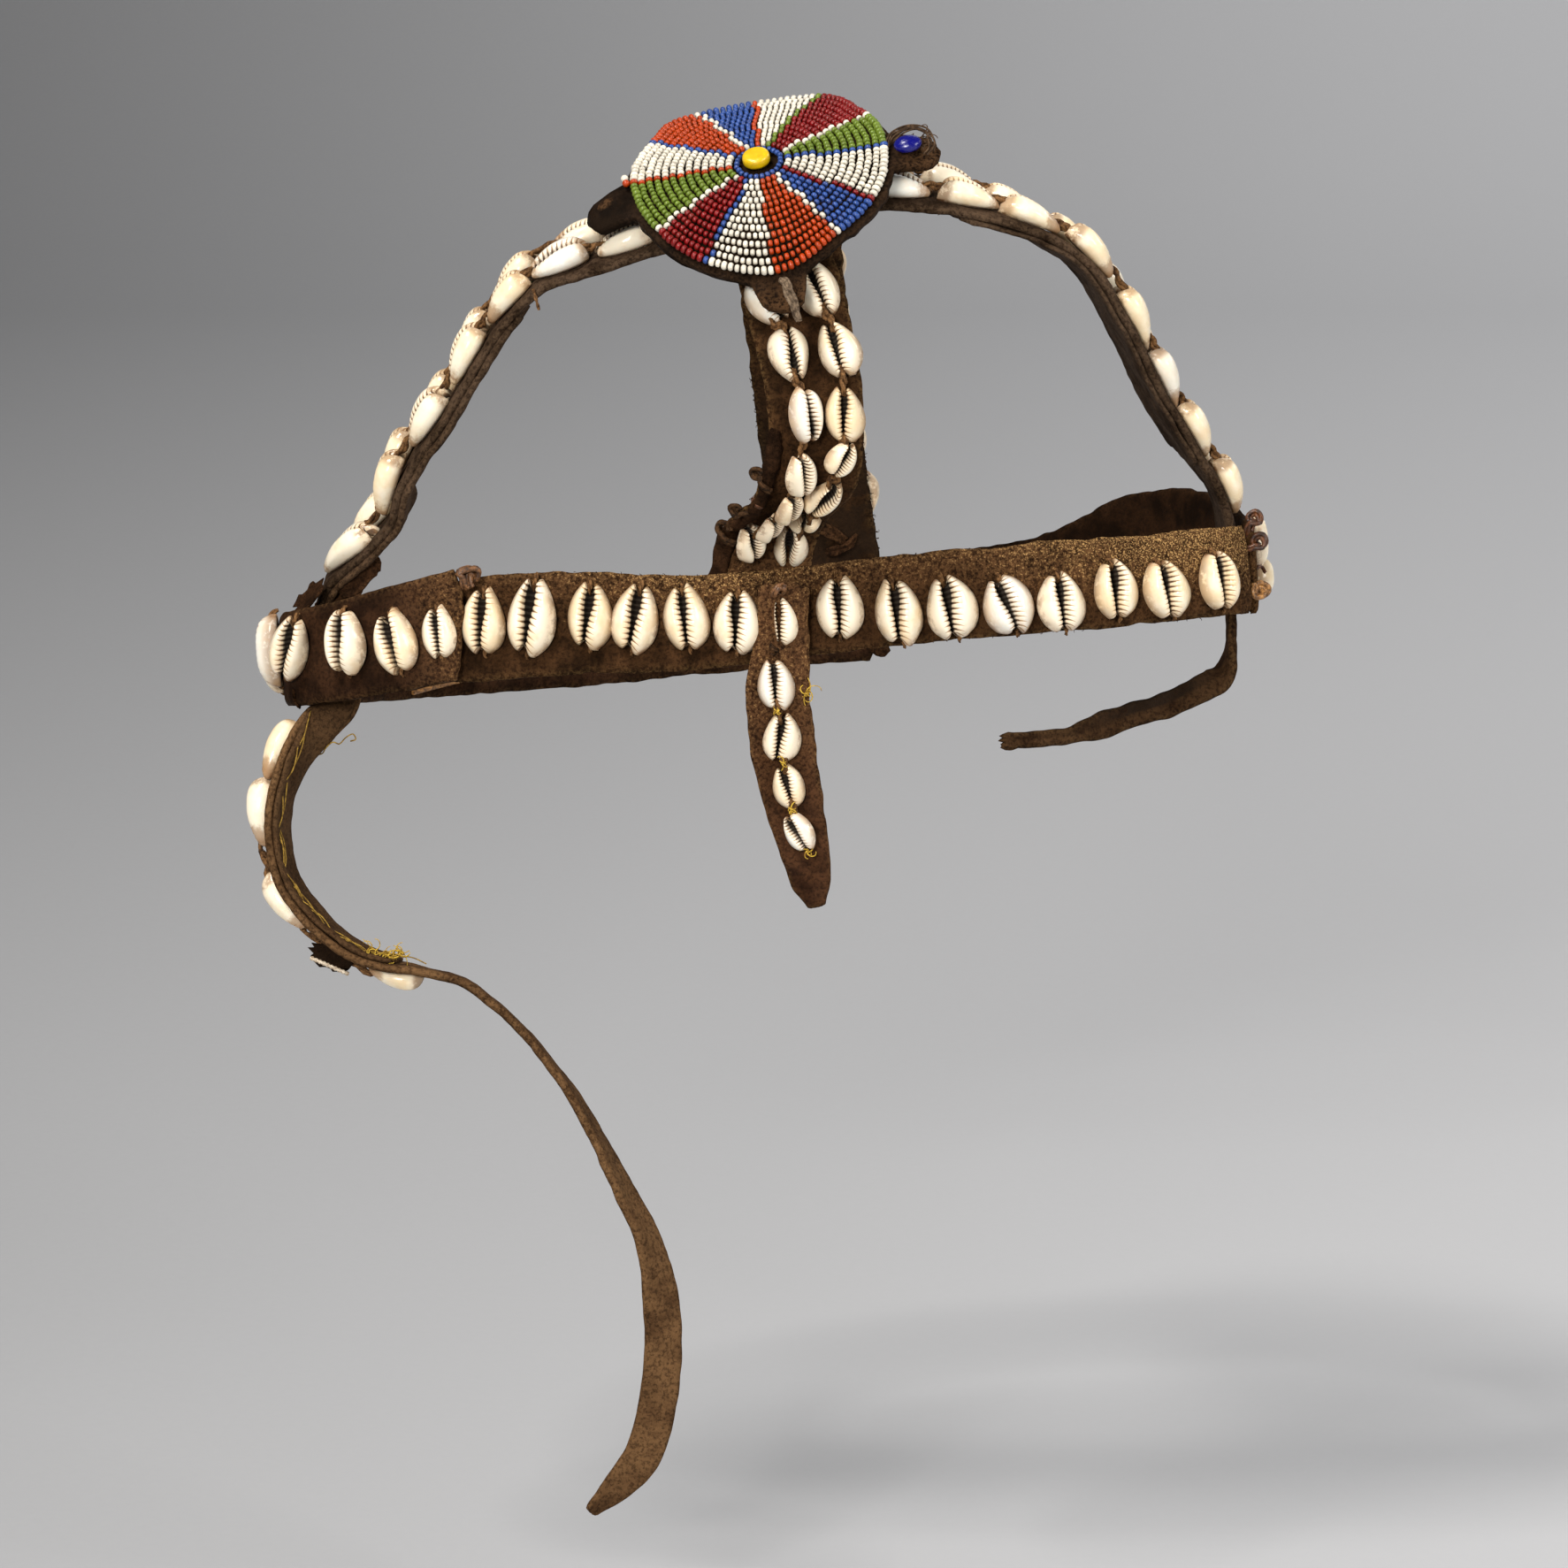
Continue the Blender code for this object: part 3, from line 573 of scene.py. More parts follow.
def lay_strip(frames, seed, worn, ragged, frayed_start, frayed_end, cup, slant):
    """An open sheet along the frames; worn gives dust, and below 0 painted darkness for grease and
    shade, from the distance and the share across.
    The slant pushes the upper corner of its first end further out."""
    count = len(frames) - 1
    length = frames[-1].travelled
    lanes = max(6, round(max(frame.width for frame in frames) / STEP))
    bm = bmesh.new()
    bmesh.ops.create_grid(bm, x_segments=count, y_segments=lanes, size=0.5)
    edge_layer = bm.verts.layers.float.new("edge")
    worn_layer = bm.verts.layers.float.new("worn")
    wall_layer = bm.verts.layers.deform.verify()
    for vert in bm.verts:
        frame = frames[round((vert.co.x + 0.5) * count)]
        share = vert.co.y * 2      # from -1 at one edge to 1 at the other
        far = frame.travelled
        waver = noise.noise(Vector((far / WAVER, math.copysign(9, share), seed)))
        sway = noise.noise(Vector((far / SWAY, math.copysign(5, share), seed)))
        half = frame.width / 2 + ragged * (waver + 1.4 * sway) * min(1, abs(share) * 1.3)
        point = frame.middle + frame.side * half * share
        for reach, frayed, towards in ((far, frayed_start, 1), (length - far, frayed_end, -1)):
            hold = max(0.0, 1 - reach / FRAY_REACH)
            tear = noise.noise(Vector((share * 3.5, seed * 3, towards))) * 0.8 + 0.4
            point += frame.along * towards * frayed * hold * (tear + 1.2 * share**4)
        point -= frame.along * slant * soft(share, -1, 0.7) * max(0.0, 1 - far / 6)
        lift = 0.30 * noise.noise(point / FOLD_SIZE + Vector((seed, 0, 0)))
        lift += 0.13 * noise.noise(point / PUCKER_SIZE + Vector((0, seed, 0)))
        point += frame.out * (lift + cup * share * share)
        rim = max(0.0, abs(share)**14, 1 - min(far, length - far) / RIM_WIDTH)
        vert[edge_layer] = rim
        vert[worn_layer] = worn(far, share)
        vert[wall_layer][0] = 1 - 0.6 * rim
        vert.co = point * MM
    bmesh.ops.reverse_faces(bm, faces=bm.faces)
    return bm


def thicken(piece, thickness, group=""):
    """The sheet grows to both sides, and less where the vertex group says so."""
    wall = piece.modifiers.new("wall", "SOLIDIFY")
    wall.thickness = thickness * MM
    wall.offset = 0.0
    wall.vertex_group = group


def add_strip(name, frames, finish, node, thickness, seed, worn, ragged=0.25,
              frayed_start=1.2, frayed_end=1.2, cup=0.0, slant=0.0):
    """A piece of leather along frames. Its raggedness, frays and cup are in millimetres."""
    bm = lay_strip(frames, seed, worn, ragged, frayed_start, frayed_end, cup, slant)
    piece = add_piece(name, bm, finish, node)
    piece.vertex_groups.new(name="wall")
    thicken(piece, thickness, "wall")


def layer(frames, first, last, inwards, width=0.0, across=0.0):
    """The frames of a second layer along part of a strap, moved inwards and across."""
    return [frame._replace(travelled=frame.travelled - first, width=frame.width + width,
                           middle=frame.middle - frame.out * inwards + frame.side * across)
            for frame in frames if first <= frame.travelled <= last]


# %% [markdown]
# The straps are worn in different places, so each has a rule of its own for its dust. Where two
# layers show at the edge of a strap, as on the arms of the ear strap and in the curl of the chin
# strap, a lining lies inside it. The left edge of the crown strap's foot is rolled over, and that
# roll is a narrow strip of its own, with its long sides bent down.

# %% Lay the leather
def dusty_front(far, share):
    """The front is the most worn in its middle and at its right, along its upper half."""
    middle, right = math.exp(-((far - 125) / 42)**2), math.exp(-(far / 62)**2)
    return (0.2 + 0.62 * middle + 0.95 * right) * (0.5 + 0.5 * share) + 0.2 * right


def dusty_left_end(far, share):
    return 0.55 * math.exp(-(far / 12)**2)


def dusty_right_end(far, share):
    return 0.1 + 1.1 * soft(far, 162, 169)


def foot_dust_and_shade(far, share):
    """The crown strap is dusty at its front foot, and its back one is painted dark: painted shade on
    its inner face, with dark patches of grease.
    """
    return 0.15 + 0.45 * math.exp(-(far / 30)**2) - 1.1 * math.exp(-((far - 290) / 42)**2)


def dark_stretch(far, share):
    """The short chin strap is painted darker along its upper side, a third of the way down."""
    return 0.25 - 1.6 * soft(share, -0.3, 0.4) * math.exp(-((far - 40) / 15)**2)


def evenly(amount):
    return lambda far, share: amount


add_strip("leather_band_front", STRAPS["band_front"], ROUGH_HIDE, "band_front", 2.5, 1,
          dusty_front, ragged=0.35)
add_strip("leather_band_left", STRAPS["band_left"], SMOOTH_HIDE, "band_left", 2.5, 2,
          dusty_left_end, ragged=0.3, frayed_start=1.4, slant=4.2)
add_strip("leather_band_right", STRAPS["band_right"], BACK_BAND_SHADE_HIDE, "band_right", 2.5, 3,
          dusty_right_end, ragged=0.5, frayed_start=2.5, frayed_end=0.3)
add_strip("leather_ear_strap", STRAPS["ear_strap"], STRAP_HIDE, "ear_strap", 2.4, 4,
          evenly(0.05), ragged=0.35, frayed_start=2.0, frayed_end=3.0)
add_strip("lining_of_left_arm", layer(STRAPS["ear_strap"], 206, 299, 1.4, 0.8, -0.5),
          STRAP_HIDE, "ear_strap", 1.9, 9, lambda far, share: 0.1 + 0.3 * far / 95,
          ragged=1.1, frayed_start=3.0, frayed_end=3.0)
add_strip("lining_of_right_arm", layer(STRAPS["ear_strap"], 26, 112, 1.5, 0.3, -0.5),
          STRAP_HIDE, "ear_strap", 1.3, 10, evenly(-0.2), ragged=1.1, frayed_start=3.0,
          frayed_end=3.0)
add_strip("fold_of_crown_foot", layer(STRAPS["crown_strap"], 6, 62, -1.6, -17.2, -9.0),
          TORN_HIDE, "crown_strap", 1.8, 12, evenly(0.1), ragged=1.1, frayed_start=1.5,
          frayed_end=2.0, cup=-0.7)
add_strip("leather_crown_strap", STRAPS["crown_strap"], ROUGH_HIDE, "crown_strap", 2.4, 5,
          foot_dust_and_shade, ragged=0.45, frayed_start=3.0, frayed_end=3.0)
add_strip("leather_pendant_strap", STRAPS["pendant_strap"], RED_HIDE, "pendant_strap", 2.2, 6,
          lambda far, share: min(0.55, (far - 8) / 70), ragged=0.35, frayed_start=0.3,
          frayed_end=1.5)
add_strip("leather_long_chin_strap", layer(STRAPS["long_chin_strap"], 0, 240, -0.7),
          LACE_HIDE, "long_chin_strap", 1.9, 7, evenly(0.1), ragged=0.12, frayed_start=1.5,
          frayed_end=0.2)
add_strip("lining_of_chin_strap", layer(STRAPS["long_chin_strap"], 0, 86, 0.9, -0.9),
          LACE_HIDE, "long_chin_strap", 1.3, 11, evenly(-0.5), frayed_start=1.5, frayed_end=1.5)
add_strip("leather_short_chin_strap", STRAPS["short_chin_strap"], DARK_LACE_HIDE,
          "short_chin_strap", 2.0, 8, dark_stretch, ragged=0.45, frayed_start=1.0,
          frayed_end=1.6, cup=0.5)

# %% [markdown]
# A cowrie has its back cut off, so that it lies flat and shows its mouth. One shell could be
# sculpted and copied, but no two on the band are alike, so every shell is worked out from a seed of
# its own. It starts as a ball whose poles become its two ends. Each ring of the ball becomes a
# cross-section: a flat back, two rolled lips, and between them the mouth, which is widest towards
# one end. A tall shell is seen from its side, so its flanks swell and its base tucks in.

# %% One cross-section of a cowrie
SHELL_RINGS = 48
SHELL_SIDES = 34
FRONT_SHARE = 0.38     # of the way round each half that faces outwards
FRONT_STEPS = FRONT_SHARE * SHELL_SIDES
MOUTH_STEPS = 2        # the first points of a section lie inside the mouth
CREST = 0.4            # where the lip stands highest, on the way from the mouth to the rim
FAR_FROM_LIP = 4.0     # the value of `lip` all over the underside
TEETH = 12


def shell_section(turn, opening, room, fat):
    """Where a point lies in its cross-section, from the share of a turn that it has gone round.

    It gives the distance from the middle of the mouth, the height as a share of the shell's, the
    distance out over the lip, the share of the way to the rim, and how far it is underneath."""
    if turn > FRONT_SHARE:
        under = (turn - FRONT_SHARE) / (0.5 - FRONT_SHARE)
        away = (opening + room) * (1 - (0.12 + 0.16 * fat) * min(1, under * 2.5))
        tall = (0.24 + 0.28 * fat) * max(0.0, 1 - under * 2.5)
        if under > 0.45:
            away *= max(0.0, 1 - (under - 0.45) / 0.55)
        return away, tall, FAR_FROM_LIP, 1.0, under
    step = turn / FRONT_SHARE * FRONT_STEPS
    if step <= MOUTH_STEPS:
        away = opening * step / MOUTH_STEPS * (1.1 if step > 1 else 1.0)
        tall = 0.12 if step <= 1 else 0.12 + 0.5 * (step - 1)
        return away, tall, away - opening - 0.05, 0.0, 0.0
    share = (step - MOUTH_STEPS) / (FRONT_STEPS - MOUTH_STEPS)
    away = opening + room * share**1.25
    if share < CREST:
        tall = 1 - (0.34 - 0.2 * fat) * (1 - math.sin(share / CREST * math.pi / 2))
    else:
        tall = 1 - (0.76 - 0.28 * fat) * ((share - CREST) / 0.6)**2.3
    return away, tall, away - opening, share, 0.0


# %% [markdown]
# What sets one shell apart from the next is drawn from its seed: how far its mouth gapes and bows,
# how it tapers and swells, and its shade. Most of it is a share of the shell's size, so that a small
# shell isn't more crooked than a large one.

# %% The character of a cowrie
SHELL_VALUES = ("lip", "tooth", "reach", "rim", "end", "tone", "stain")
# How far along the strap a shell lies and how far across, its size, how far it is turned in degrees,
# its seed, how much is left of a half that has broken off, and how widely its mouth gapes
Shell = namedtuple("Shell", "travelled across length width tilt roll seed half gap", defaults=(
    0.0, 0, 1.0, 1.0))
Character = namedtuple("Character",
                       "gap bow lean taper uneven skew tone first_tooth bulge stain")


def shell_character(seed, length, width, fat, wide):
    """The gap opens as many times as far as wide says; fat is 1 for a tall shell."""
    chance = random.Random(seed)
    return Character(
        gap=chance.uniform(0.62, 0.88) * width / 10 * wide,
        bow=chance.uniform(-0.6, 0.6) * width / 10,
        lean=chance.uniform(-0.2, 0.6) * width / 10,
        taper=chance.uniform(0.10, 0.20),
        uneven=chance.uniform(-0.5, 0.5) * length / 15,
        skew=chance.uniform(-0.07, 0.07),
        tone=chance.random(),
        first_tooth=chance.random(),
        bulge=chance.uniform(-0.12, 0.12),
        stain=fat * chance.uniform(0.3, 1.0))


# %% [markdown]
# Along its length the shell swells and tapers, its mouth bows, a notch splits both ends into horns,
# and teeth scallop the lips. The shell keeps values for its finish: `lip`, the distance from the
# mouth's edge, `tooth`, which counts the grooves, `reach`, how far they run out over the lip, `rim`,
# which is 1 at the outer margin, `end`, which is 1 at both ends, `tone`, its own shade, and `stain`,
# where dirt has run over it.

# %% The shape of a cowrie
def add_shell(bm, base, up, out, length, width, height, seed, half_shell=1.0, wide=1.0):
    """A shell on its back at base, its wider gap towards up and its mouth towards out."""
    layers = [bm.verts.layers.float[name] for name in SHELL_VALUES]
    right = up.cross(out)
    fat = soft(height / width, 0.47, 0.50)
    own = shell_character(seed, length, width, fat, wide)
    pitch = length * 0.86 / TEETH
    for vert in bmesh.ops.create_uvsphere(bm, u_segments=SHELL_SIDES, v_segments=SHELL_RINGS,
                                          radius=1.0)["verts"]:
        x, y, z = vert.co
        # t runs from -1 at one end to 1 at the other, and hand is the side of the mouth
        t = 1 - 2 * math.acos(max(-1.0, min(1.0, z))) / math.pi
        turn = math.atan2(x, y) / math.tau
        hand = 1 if turn >= 0 else -1
        outline = (1 - abs(t)**(1.85 if t > 0 else 2.15))**0.62 * (1 - own.taper * t)
        half = width / 2 * outline * (1 + hand * (own.skew + own.bulge * t * (1 - t * t)))
        if hand < 0:
            half *= half_shell
        centre = own.lean * t + own.bow * math.sin(2.2 * t) - 0.045 * width
        opening = own.gap * (0.32 + 0.75 * math.exp(-((t - 0.4) / 0.5)**2))
        opening = min(opening, half * 0.45)
        room = max(0.05, half - hand * centre - opening)
        away, tall, lip, share, under = shell_section(abs(turn), opening, room, fat)
        # The teeth: a count along the lip, and grooves cut into it
        along = t * length / 2
        reach = (1.7 if hand < 0 else 2.5) * width / 10
        count = along / pitch + own.first_tooth
        count += ((0.2 if hand > 0 else -0.1) - 0.4 * t) * max(lip, 0)
        groove = (0.5 + 0.5 * math.cos(count * math.tau))**1.5 * soft(0.92 - abs(t), 0.0, 0.1)
        cut = groove * max(0.0, 1 - max(lip, 0) / reach) if lip > -0.3 else 0.0
        body = max(0.0, 1 - abs(t)**(3.0 - (1.5 * fat if t > 0 else 0)))**0.5
        body *= 1 - 0.26 * fat * t
        high = height * body * tall * (0.9 + 0.1 * half_shell) - 0.30 * cut * min(1, width / 10)
        if -0.2 < lip < 0.3:
            away += 0.2 * groove
        across = hand * away + centre * min(1, outline * 2.5)
        # The notches and the uneven horns of both ends
        notch = 3.2 if t > 0 else 2.1
        near_end = soft(abs(t), 0.7, 1.0)
        along += hand * own.uneven * near_end * soft(away, 0.0, 1.0)
        along -= math.copysign(notch * length / 15 * near_end
                               * math.exp(-((across - centre) / (0.082 * width))**2), t)
        vert.co = (base + right * across + up * along + out * max(high, 0.0)) * MM
        # A tall shell's flank gets less of the rim's painted shade and dirt.
        plain_flank = 0.8 * fat * max(0.0, 1 - under * 2.5)
        values = (lip, count, reach, share * (1 - plain_flank), abs(t) * (1 + 0.3 * fat), own.tone,
                  own.stain * soft(t, -0.1, 0.75))
        for key, value in zip(layers, values):
            vert[key] = value


# %% [markdown]
# The shell is glossy ivory. It turns tan in its teeth, along its rim and at its ends: partly its own
# yellowing, and partly painted shade where it rolls into the mouth and curves down to the leather.
# Brown at its rim and ends is dirt and painted shade, the grooves are painted dark brown, partly
# stain and partly painted shade in them, and inside the mouth it is painted nearly black as painted
# shade.
# Counting grooves along the lip gives the teeth: a triangle wave of the count, cut off where it runs
# past its reach. The wave is worked out in the finish and not stored, so it stays sharp between the
# points of the mesh.

# %% The finish of the shells
def shell_finish():
    shell = Finish("cowrie", Specular_IOR_Level=0.2, Coat_Roughness=0.12, Subsurface_Weight=0.04,
                   Subsurface_Scale=0.001)
    lip, count, reach, rim, end, tone, stain = (shell.stored(name) for name in SHELL_VALUES)
    wave = (count.alone("FRACT") - 0.5).alone("ABSOLUTE") * 2
    out_over = lip / reach
    groove = (wave - 0.42 - out_over * 0.52).rise(0.0, 0.24) * (1 - out_over.rise(0.7, 1.05))
    cloud = shell.spots(5, 3, 0.6)
    speck = shell.spots(0.9, 4, 0.75)
    grime = shell.spots(2.2, 4, 0.7, seed=0.4)
    ivory = shell.blend((cloud + tone * 0.5 - 0.25).rise(0.35, 0.75), (0.87, 0.78, 0.61, 1),
                        (0.80, 0.66, 0.44, 1))
    ivory = shell.blend(tone.rise(0.86, 0.9), ivory, (0.80, 0.78, 0.70, 1))
    # Tan along the rim and at the ends: yellowing, and painted shade where the shell curves down.
    colour = shell.blend((rim.rise(0.5, 1.0) + end.rise(0.65, 1.0)) * 0.36, ivory,
                         (0.62, 0.40, 0.20, 1))
    # Tan near the mouth: yellowed teeth, and painted shade where the lip rolls in.
    colour = shell.blend((1 - lip.rise(0.1, 1.6)) * 0.35, colour, (0.70, 0.48, 0.26, 1))
    # The grooves are painted dark brown: stain, and painted shade in them.
    furrow = shell.blend(out_over.rise(0.0, 0.7), (0.060, 0.024, 0.009, 1),
                         (0.42, 0.23, 0.10, 1))
    colour = shell.blend(groove * 0.95, colour, furrow)
    # Brown at the rim and ends: dirt, and painted shade near the leather.
    dirt_and_shade = (rim.rise(0.72, 1.0) + end.rise(0.74, 1.0)) * (grime + tone * 0.14).rise(0.44, 0.62)
    colour = shell.blend(dirt_and_shade * 0.7, colour, (0.20, 0.10, 0.045, 1))
    colour = shell.blend((cloud * 0.6 + grime * 0.4 + tone * 0.1).rise(0.5, 0.72) * 0.3, colour,
                         (0.72, 0.50, 0.27, 1))
    stained = (stain + grime * 0.9 - 0.72).rise(0.05, 0.42)
    colour = shell.blend(stained * 0.72, colour, (0.30, 0.155, 0.065, 1))
    colour = shell.blend(speck.rise(0.66, 0.74) * grime.rise(0.45, 0.6) * 0.6, colour,
                         (0.42, 0.25, 0.12, 1))
    # Painted shade: nearly black inside the mouth.
    mouth_shade = 1 - lip.rise(-0.12, 0.1)
    colour = shell.blend(mouth_shade * 0.97, colour, (0.010, 0.006, 0.004, 1))
    rough = 0.27 + groove * 0.3 + mouth_shade * 0.6 + dirt_and_shade * 0.3
    shell.feed(shell.shader.inputs["Coat Weight"], (1 - mouth_shade) * 0.4)
    return shell.complete(colour, rough, (speck, 0.05))


COWRIE = shell_finish()

# %% [markdown]
# The shells that show have a table each, with every shell's own place, size and tilt. The rows at
# the back are evenly sewn, so they come from a loop with a little seeded unevenness.

# %% Tables of shells
# A few shells need a certain shade, so they have a seed that gives it
BLUISH, BLUISH_END = 4, 8
CREAM, BROKEN = 5, 3
FRONT_SHELLS = [Shell(*row) for row in (
    (12.0, -1.8, 13.9, 10.3, -8), (24.7, -2.5, 13.9, 10.9, -14), (36.2, -1.7, 13.9, 10.1, -6),
    (48.0, -3.4, 13.9, 10.6, -4), (59.7, -3.0, 14.1, 11.2, -14), (72.2, -2.5, 15.0, 11.2, -12),
    (83.5, -2.4, 15.4, 10.2, -6), (95.5, -0.1, 14.4, 10.3, 7))]
FRONT_LEFT_SHELLS = [Shell(*row) for row in (
    (108.6, -1.6, 11.4, 8.6, 2, 0, BROKEN, 0.3), (117.7, -0.6, 14.8, 10.6, 7),
    (128.5, 1.2, 15.4, 9.9, -5), (139.2, 1.1, 16.0, 10.3, 8), (149.2, 1.6, 15.4, 9.9, 0),
    (161.6, 1.9, 18.2, 10.6, 10), (171.8, 1.8, 15.6, 9.9, 6))]
LAP_SHELLS = [Shell(3.0, -0.9, 12.2, 7.8, 8)]
LEFT_SHELLS = [Shell(*row) for row in (
    (12.8, -0.8, 14.8, 10.3, 1), (24.6, 1.6, 15.2, 10.3, 5), (38.8, 2.3, 15.2, 9.2, 24, -32),
    (53.0, 2.6, 17.0, 11.2, 2, 4, BLUISH))]
CROWN_LEFT_SHELLS = [Shell(*row) for row in (
    (25.2, -4.8, 10.6, 7.8, -22, -40), (34.8, -4.6, 9.6, 7.2, -16, -36, CREAM),
    (43.4, -3.8, 9.8, 7.4, -12, -36), (51.8, -3.2, 10.8, 8.2, -16, -38),
    (63.5, -2.7, 12.8, 8.4, 178, 32, BLUISH), (76.8, -3.6, 13.0, 8.6, 176, 2, CREAM),
    (89.2, -5.6, 12.4, 8.8, 160, 0, BLUISH))]
CROWN_RIGHT_SHELLS = [Shell(*row) for row in (
    (25.4, 4.6, 12.6, 7.4, -20, 0, CREAM, 1.0, 1.5), (36.0, 3.6, 5.6, 7.4, -14),
    (46.2, 3.8, 11.4, 7.6, 16, 0, 0, 1.0, 2.0), (55.6, 5.4, 8.6, 7.2, 22, -22),
    (63.6, 6.2, 12.8, 8.4, -6), (75.8, 6.4, 13.4, 9.0, -10), (89.4, 5.6, 13.6, 8.8, -4))]
PENDANT_SHELLS = [Shell(*row) for row in (
    (17.2, 0.0, 9.6, 6.8, -14, 24, BLUISH, 1.0, 1.3), (27.2, 0.0, 10.4, 7.0, -5),
    (38.0, 0.0, 11.6, 8.2, 8, 0, CREAM), (49.4, -0.4, 11.8, 8.0, -15, 0, BLUISH_END))]
CHIN_SHELLS = [Shell(*row) for row in (
    (26.0, 0.2, 16.8, 9.6, -16, 14), (38.6, 0.8, 17.6, 9.8, 0), (57.5, 0.2, 16.5, 8.0, 0),
    (84.4, 0.4, 13.2, 6.8, 180))]
# Along the arms of the ear strap, where the near row shows its side
RIGHT_ARM_SHELLS = [Shell(*row) for row in (
    (19.0, -5.4, 15.2, 9.2, 180), (34.0, -5.4, 15.2, 9.2, 177), (48.4, -5.4, 15.0, 9.0, 183),
    (63.6, -5.4, 15.6, 9.2, 180), (80.2, -5.4, 15.8, 9.2, 178), (94.4, -5.4, 15.4, 9.2, 182),
    (108.0, -5.4, 14.8, 9.2, 175), (122.4, -5.4, 14.6, 9.2, 180))]
LEFT_ARM_SHELLS = [Shell(*row) for row in (
    (182.0, -5.4, 14.4, 8.8, 4), (196.4, -5.2, 15.2, 9.0, -6, 10), (209.4, -5.4, 14.8, 9.2, 2),
    (224.0, -5.2, 15.4, 9.2, -5, 9), (240.6, -5.4, 16.2, 9.4, 3, 14), (257.6, -5.4, 16.6, 9.6, -2),
    (278.0, -5.4, 18.4, 9.8, 9))]


def even_shells(across, first, pitch, count, length, width, last_size=1.0, tilt=0, seed=1):
    """Shells one pitch apart, whose sizes change evenly to the last one's share of the first."""
    chance = random.Random(seed)
    shells = []
    for i in range(count):
        share = 1 + (last_size - 1) * i / max(count - 1, 1)
        size = share * chance.uniform(0.95, 1.05)
        shells.append(Shell(first + chance.uniform(-0.3, 0.3), across + chance.uniform(-0.3, 0.3),
                            length * size, width * size, tilt + chance.uniform(-7, 7)))
        first += pitch * share
    return shells


print("The front of the band carries", len(FRONT_SHELLS) + len(FRONT_LEFT_SHELLS), "shells")

# %% [markdown]
# Shells sit across the band with their wider gap up, but along the other straps, one after the
# other. `tilt` turns a shell in the plane of the leather and `roll` tips it over on its side.
# Every shell's size is its own, and its seed is its place in the row, so a rerun makes the same row.

# %% Sew the rows of shells
Row = namedtuple("Row", "name strap lengthwise height shells")
SHELL_BED = LEATHER / 2 - 0.1      # shells are pressed a little way into the leather
BROKEN_LIFT = 1.9                  # a broken shell stands a little further out


def shell_place(frames, shell, lengthwise):
    """Where a shell lies: its bed on the leather, its long direction and the way it faces."""
    frame = frame_at(frames, shell.travelled)
    tilt, roll = math.radians(shell.tilt), math.radians(shell.roll)
    first, second = (frame.along, frame.side) if lengthwise else (frame.side, -frame.along)
    up = first * math.cos(tilt) + second * math.sin(tilt)
    beside = up.cross(frame.out)
    out = frame.out * math.cos(roll) - beside * math.sin(roll)
    bed = SHELL_BED + (BROKEN_LIFT if shell.half < 1 else 0.0)
    base = frame.middle + frame.side * shell.across + frame.out * bed
    return base + frame.out * abs(math.sin(roll)) * shell.width * 0.36, up, out


ROWS = [
    Row("band_front_cowries_right", "band_front", False, 4.6, FRONT_SHELLS),
    Row("band_front_cowries_left", "band_front", False, 4.6, FRONT_LEFT_SHELLS),
    Row("band_lap_cowrie", "band_left", False, 4.2, LAP_SHELLS),
    Row("band_left_cowries", "band_left", False, 4.6,
        LEFT_SHELLS + even_shells(0, 60.3, 11.9, 13, 14.8, 10.3, seed=11)),
    Row("band_right_cowries", "band_right", False, 4.6,
        even_shells(0, 7.0, 11.6, 13, 14.6, 10.2, seed=12)
        + [Shell(158.6, -3.6, 9.6, 9.8, 8), Shell(169.4, 5.4, 12.6, 7.2, 4)]),
    Row("ear_cowries_right_near", "ear_strap", True, 5.1, RIGHT_ARM_SHELLS),
    Row("ear_cowries_right_far", "ear_strap", True, 5.0,
        even_shells(5.3, 25, 14.4, 8, 14.2, 9.2, tilt=180, seed=14)),
    Row("ear_cowries_left_near", "ear_strap", True, 5.2, LEFT_ARM_SHELLS),
    Row("ear_cowries_left_far", "ear_strap", True, 5.0,
        even_shells(5.3, 178, 14.4, 7, 13.8, 8.8, 1.25, seed=16)),
    Row("crown_front_cowries_left", "crown_strap", True, 4.4, CROWN_LEFT_SHELLS),
    Row("crown_front_cowries_right", "crown_strap", True, 4.4, CROWN_RIGHT_SHELLS),
    Row("crown_back_cowries_left", "crown_strap", True, 4.8,
        even_shells(-5.6, 161, 15.2, 8, 14.8, 9.6, seed=17)),
    Row("crown_back_cowries_right", "crown_strap", True, 4.8,
        even_shells(7.5, 179.4, 15.2, 6, 14.8, 9.6, seed=18)
        + [Shell(273.0, 8.6, 12.4, 9.0, 4), Shell(287.0, 9.2, 13.6, 9.4, -5)]),
    Row("pendant_cowries", "pendant_strap", True, 4.0, PENDANT_SHELLS),
    Row("chin_cowries", "long_chin_strap", True, 5.8, CHIN_SHELLS),
]

for number, row in enumerate(ROWS):
    bm = bmesh.new()
    for name in SHELL_VALUES:
        bm.verts.layers.float.new(name)
    for k, shell in enumerate(row.shells):
        base, up, out = shell_place(STRAPS[row.strap], shell, row.lengthwise)
        seed = shell.seed or 100 * number + k
        add_shell(bm, base, up, out, shell.length, shell.width, row.height * shell.width / 10,
                  seed, shell.half, shell.gap)
    bmesh.ops.recalc_face_normals(bm, faces=bm.faces)
    add_piece("shells_" + row.name.replace("_cowries", "").replace("_cowrie", ""), bm, COWRIE,
              row.name)

# %% [markdown]
# Thongs of twisted hide fasten the shells. Along a strap each thong comes out of one mouth, dips
# between the two shells, and goes into the next mouth. On the band it comes out of the upper notch
# and goes down through the leather. Its finish comes first: streaks along it, and painted shade
# between its fibres. Smooth thong shines a little, and rough thong hardly at all.

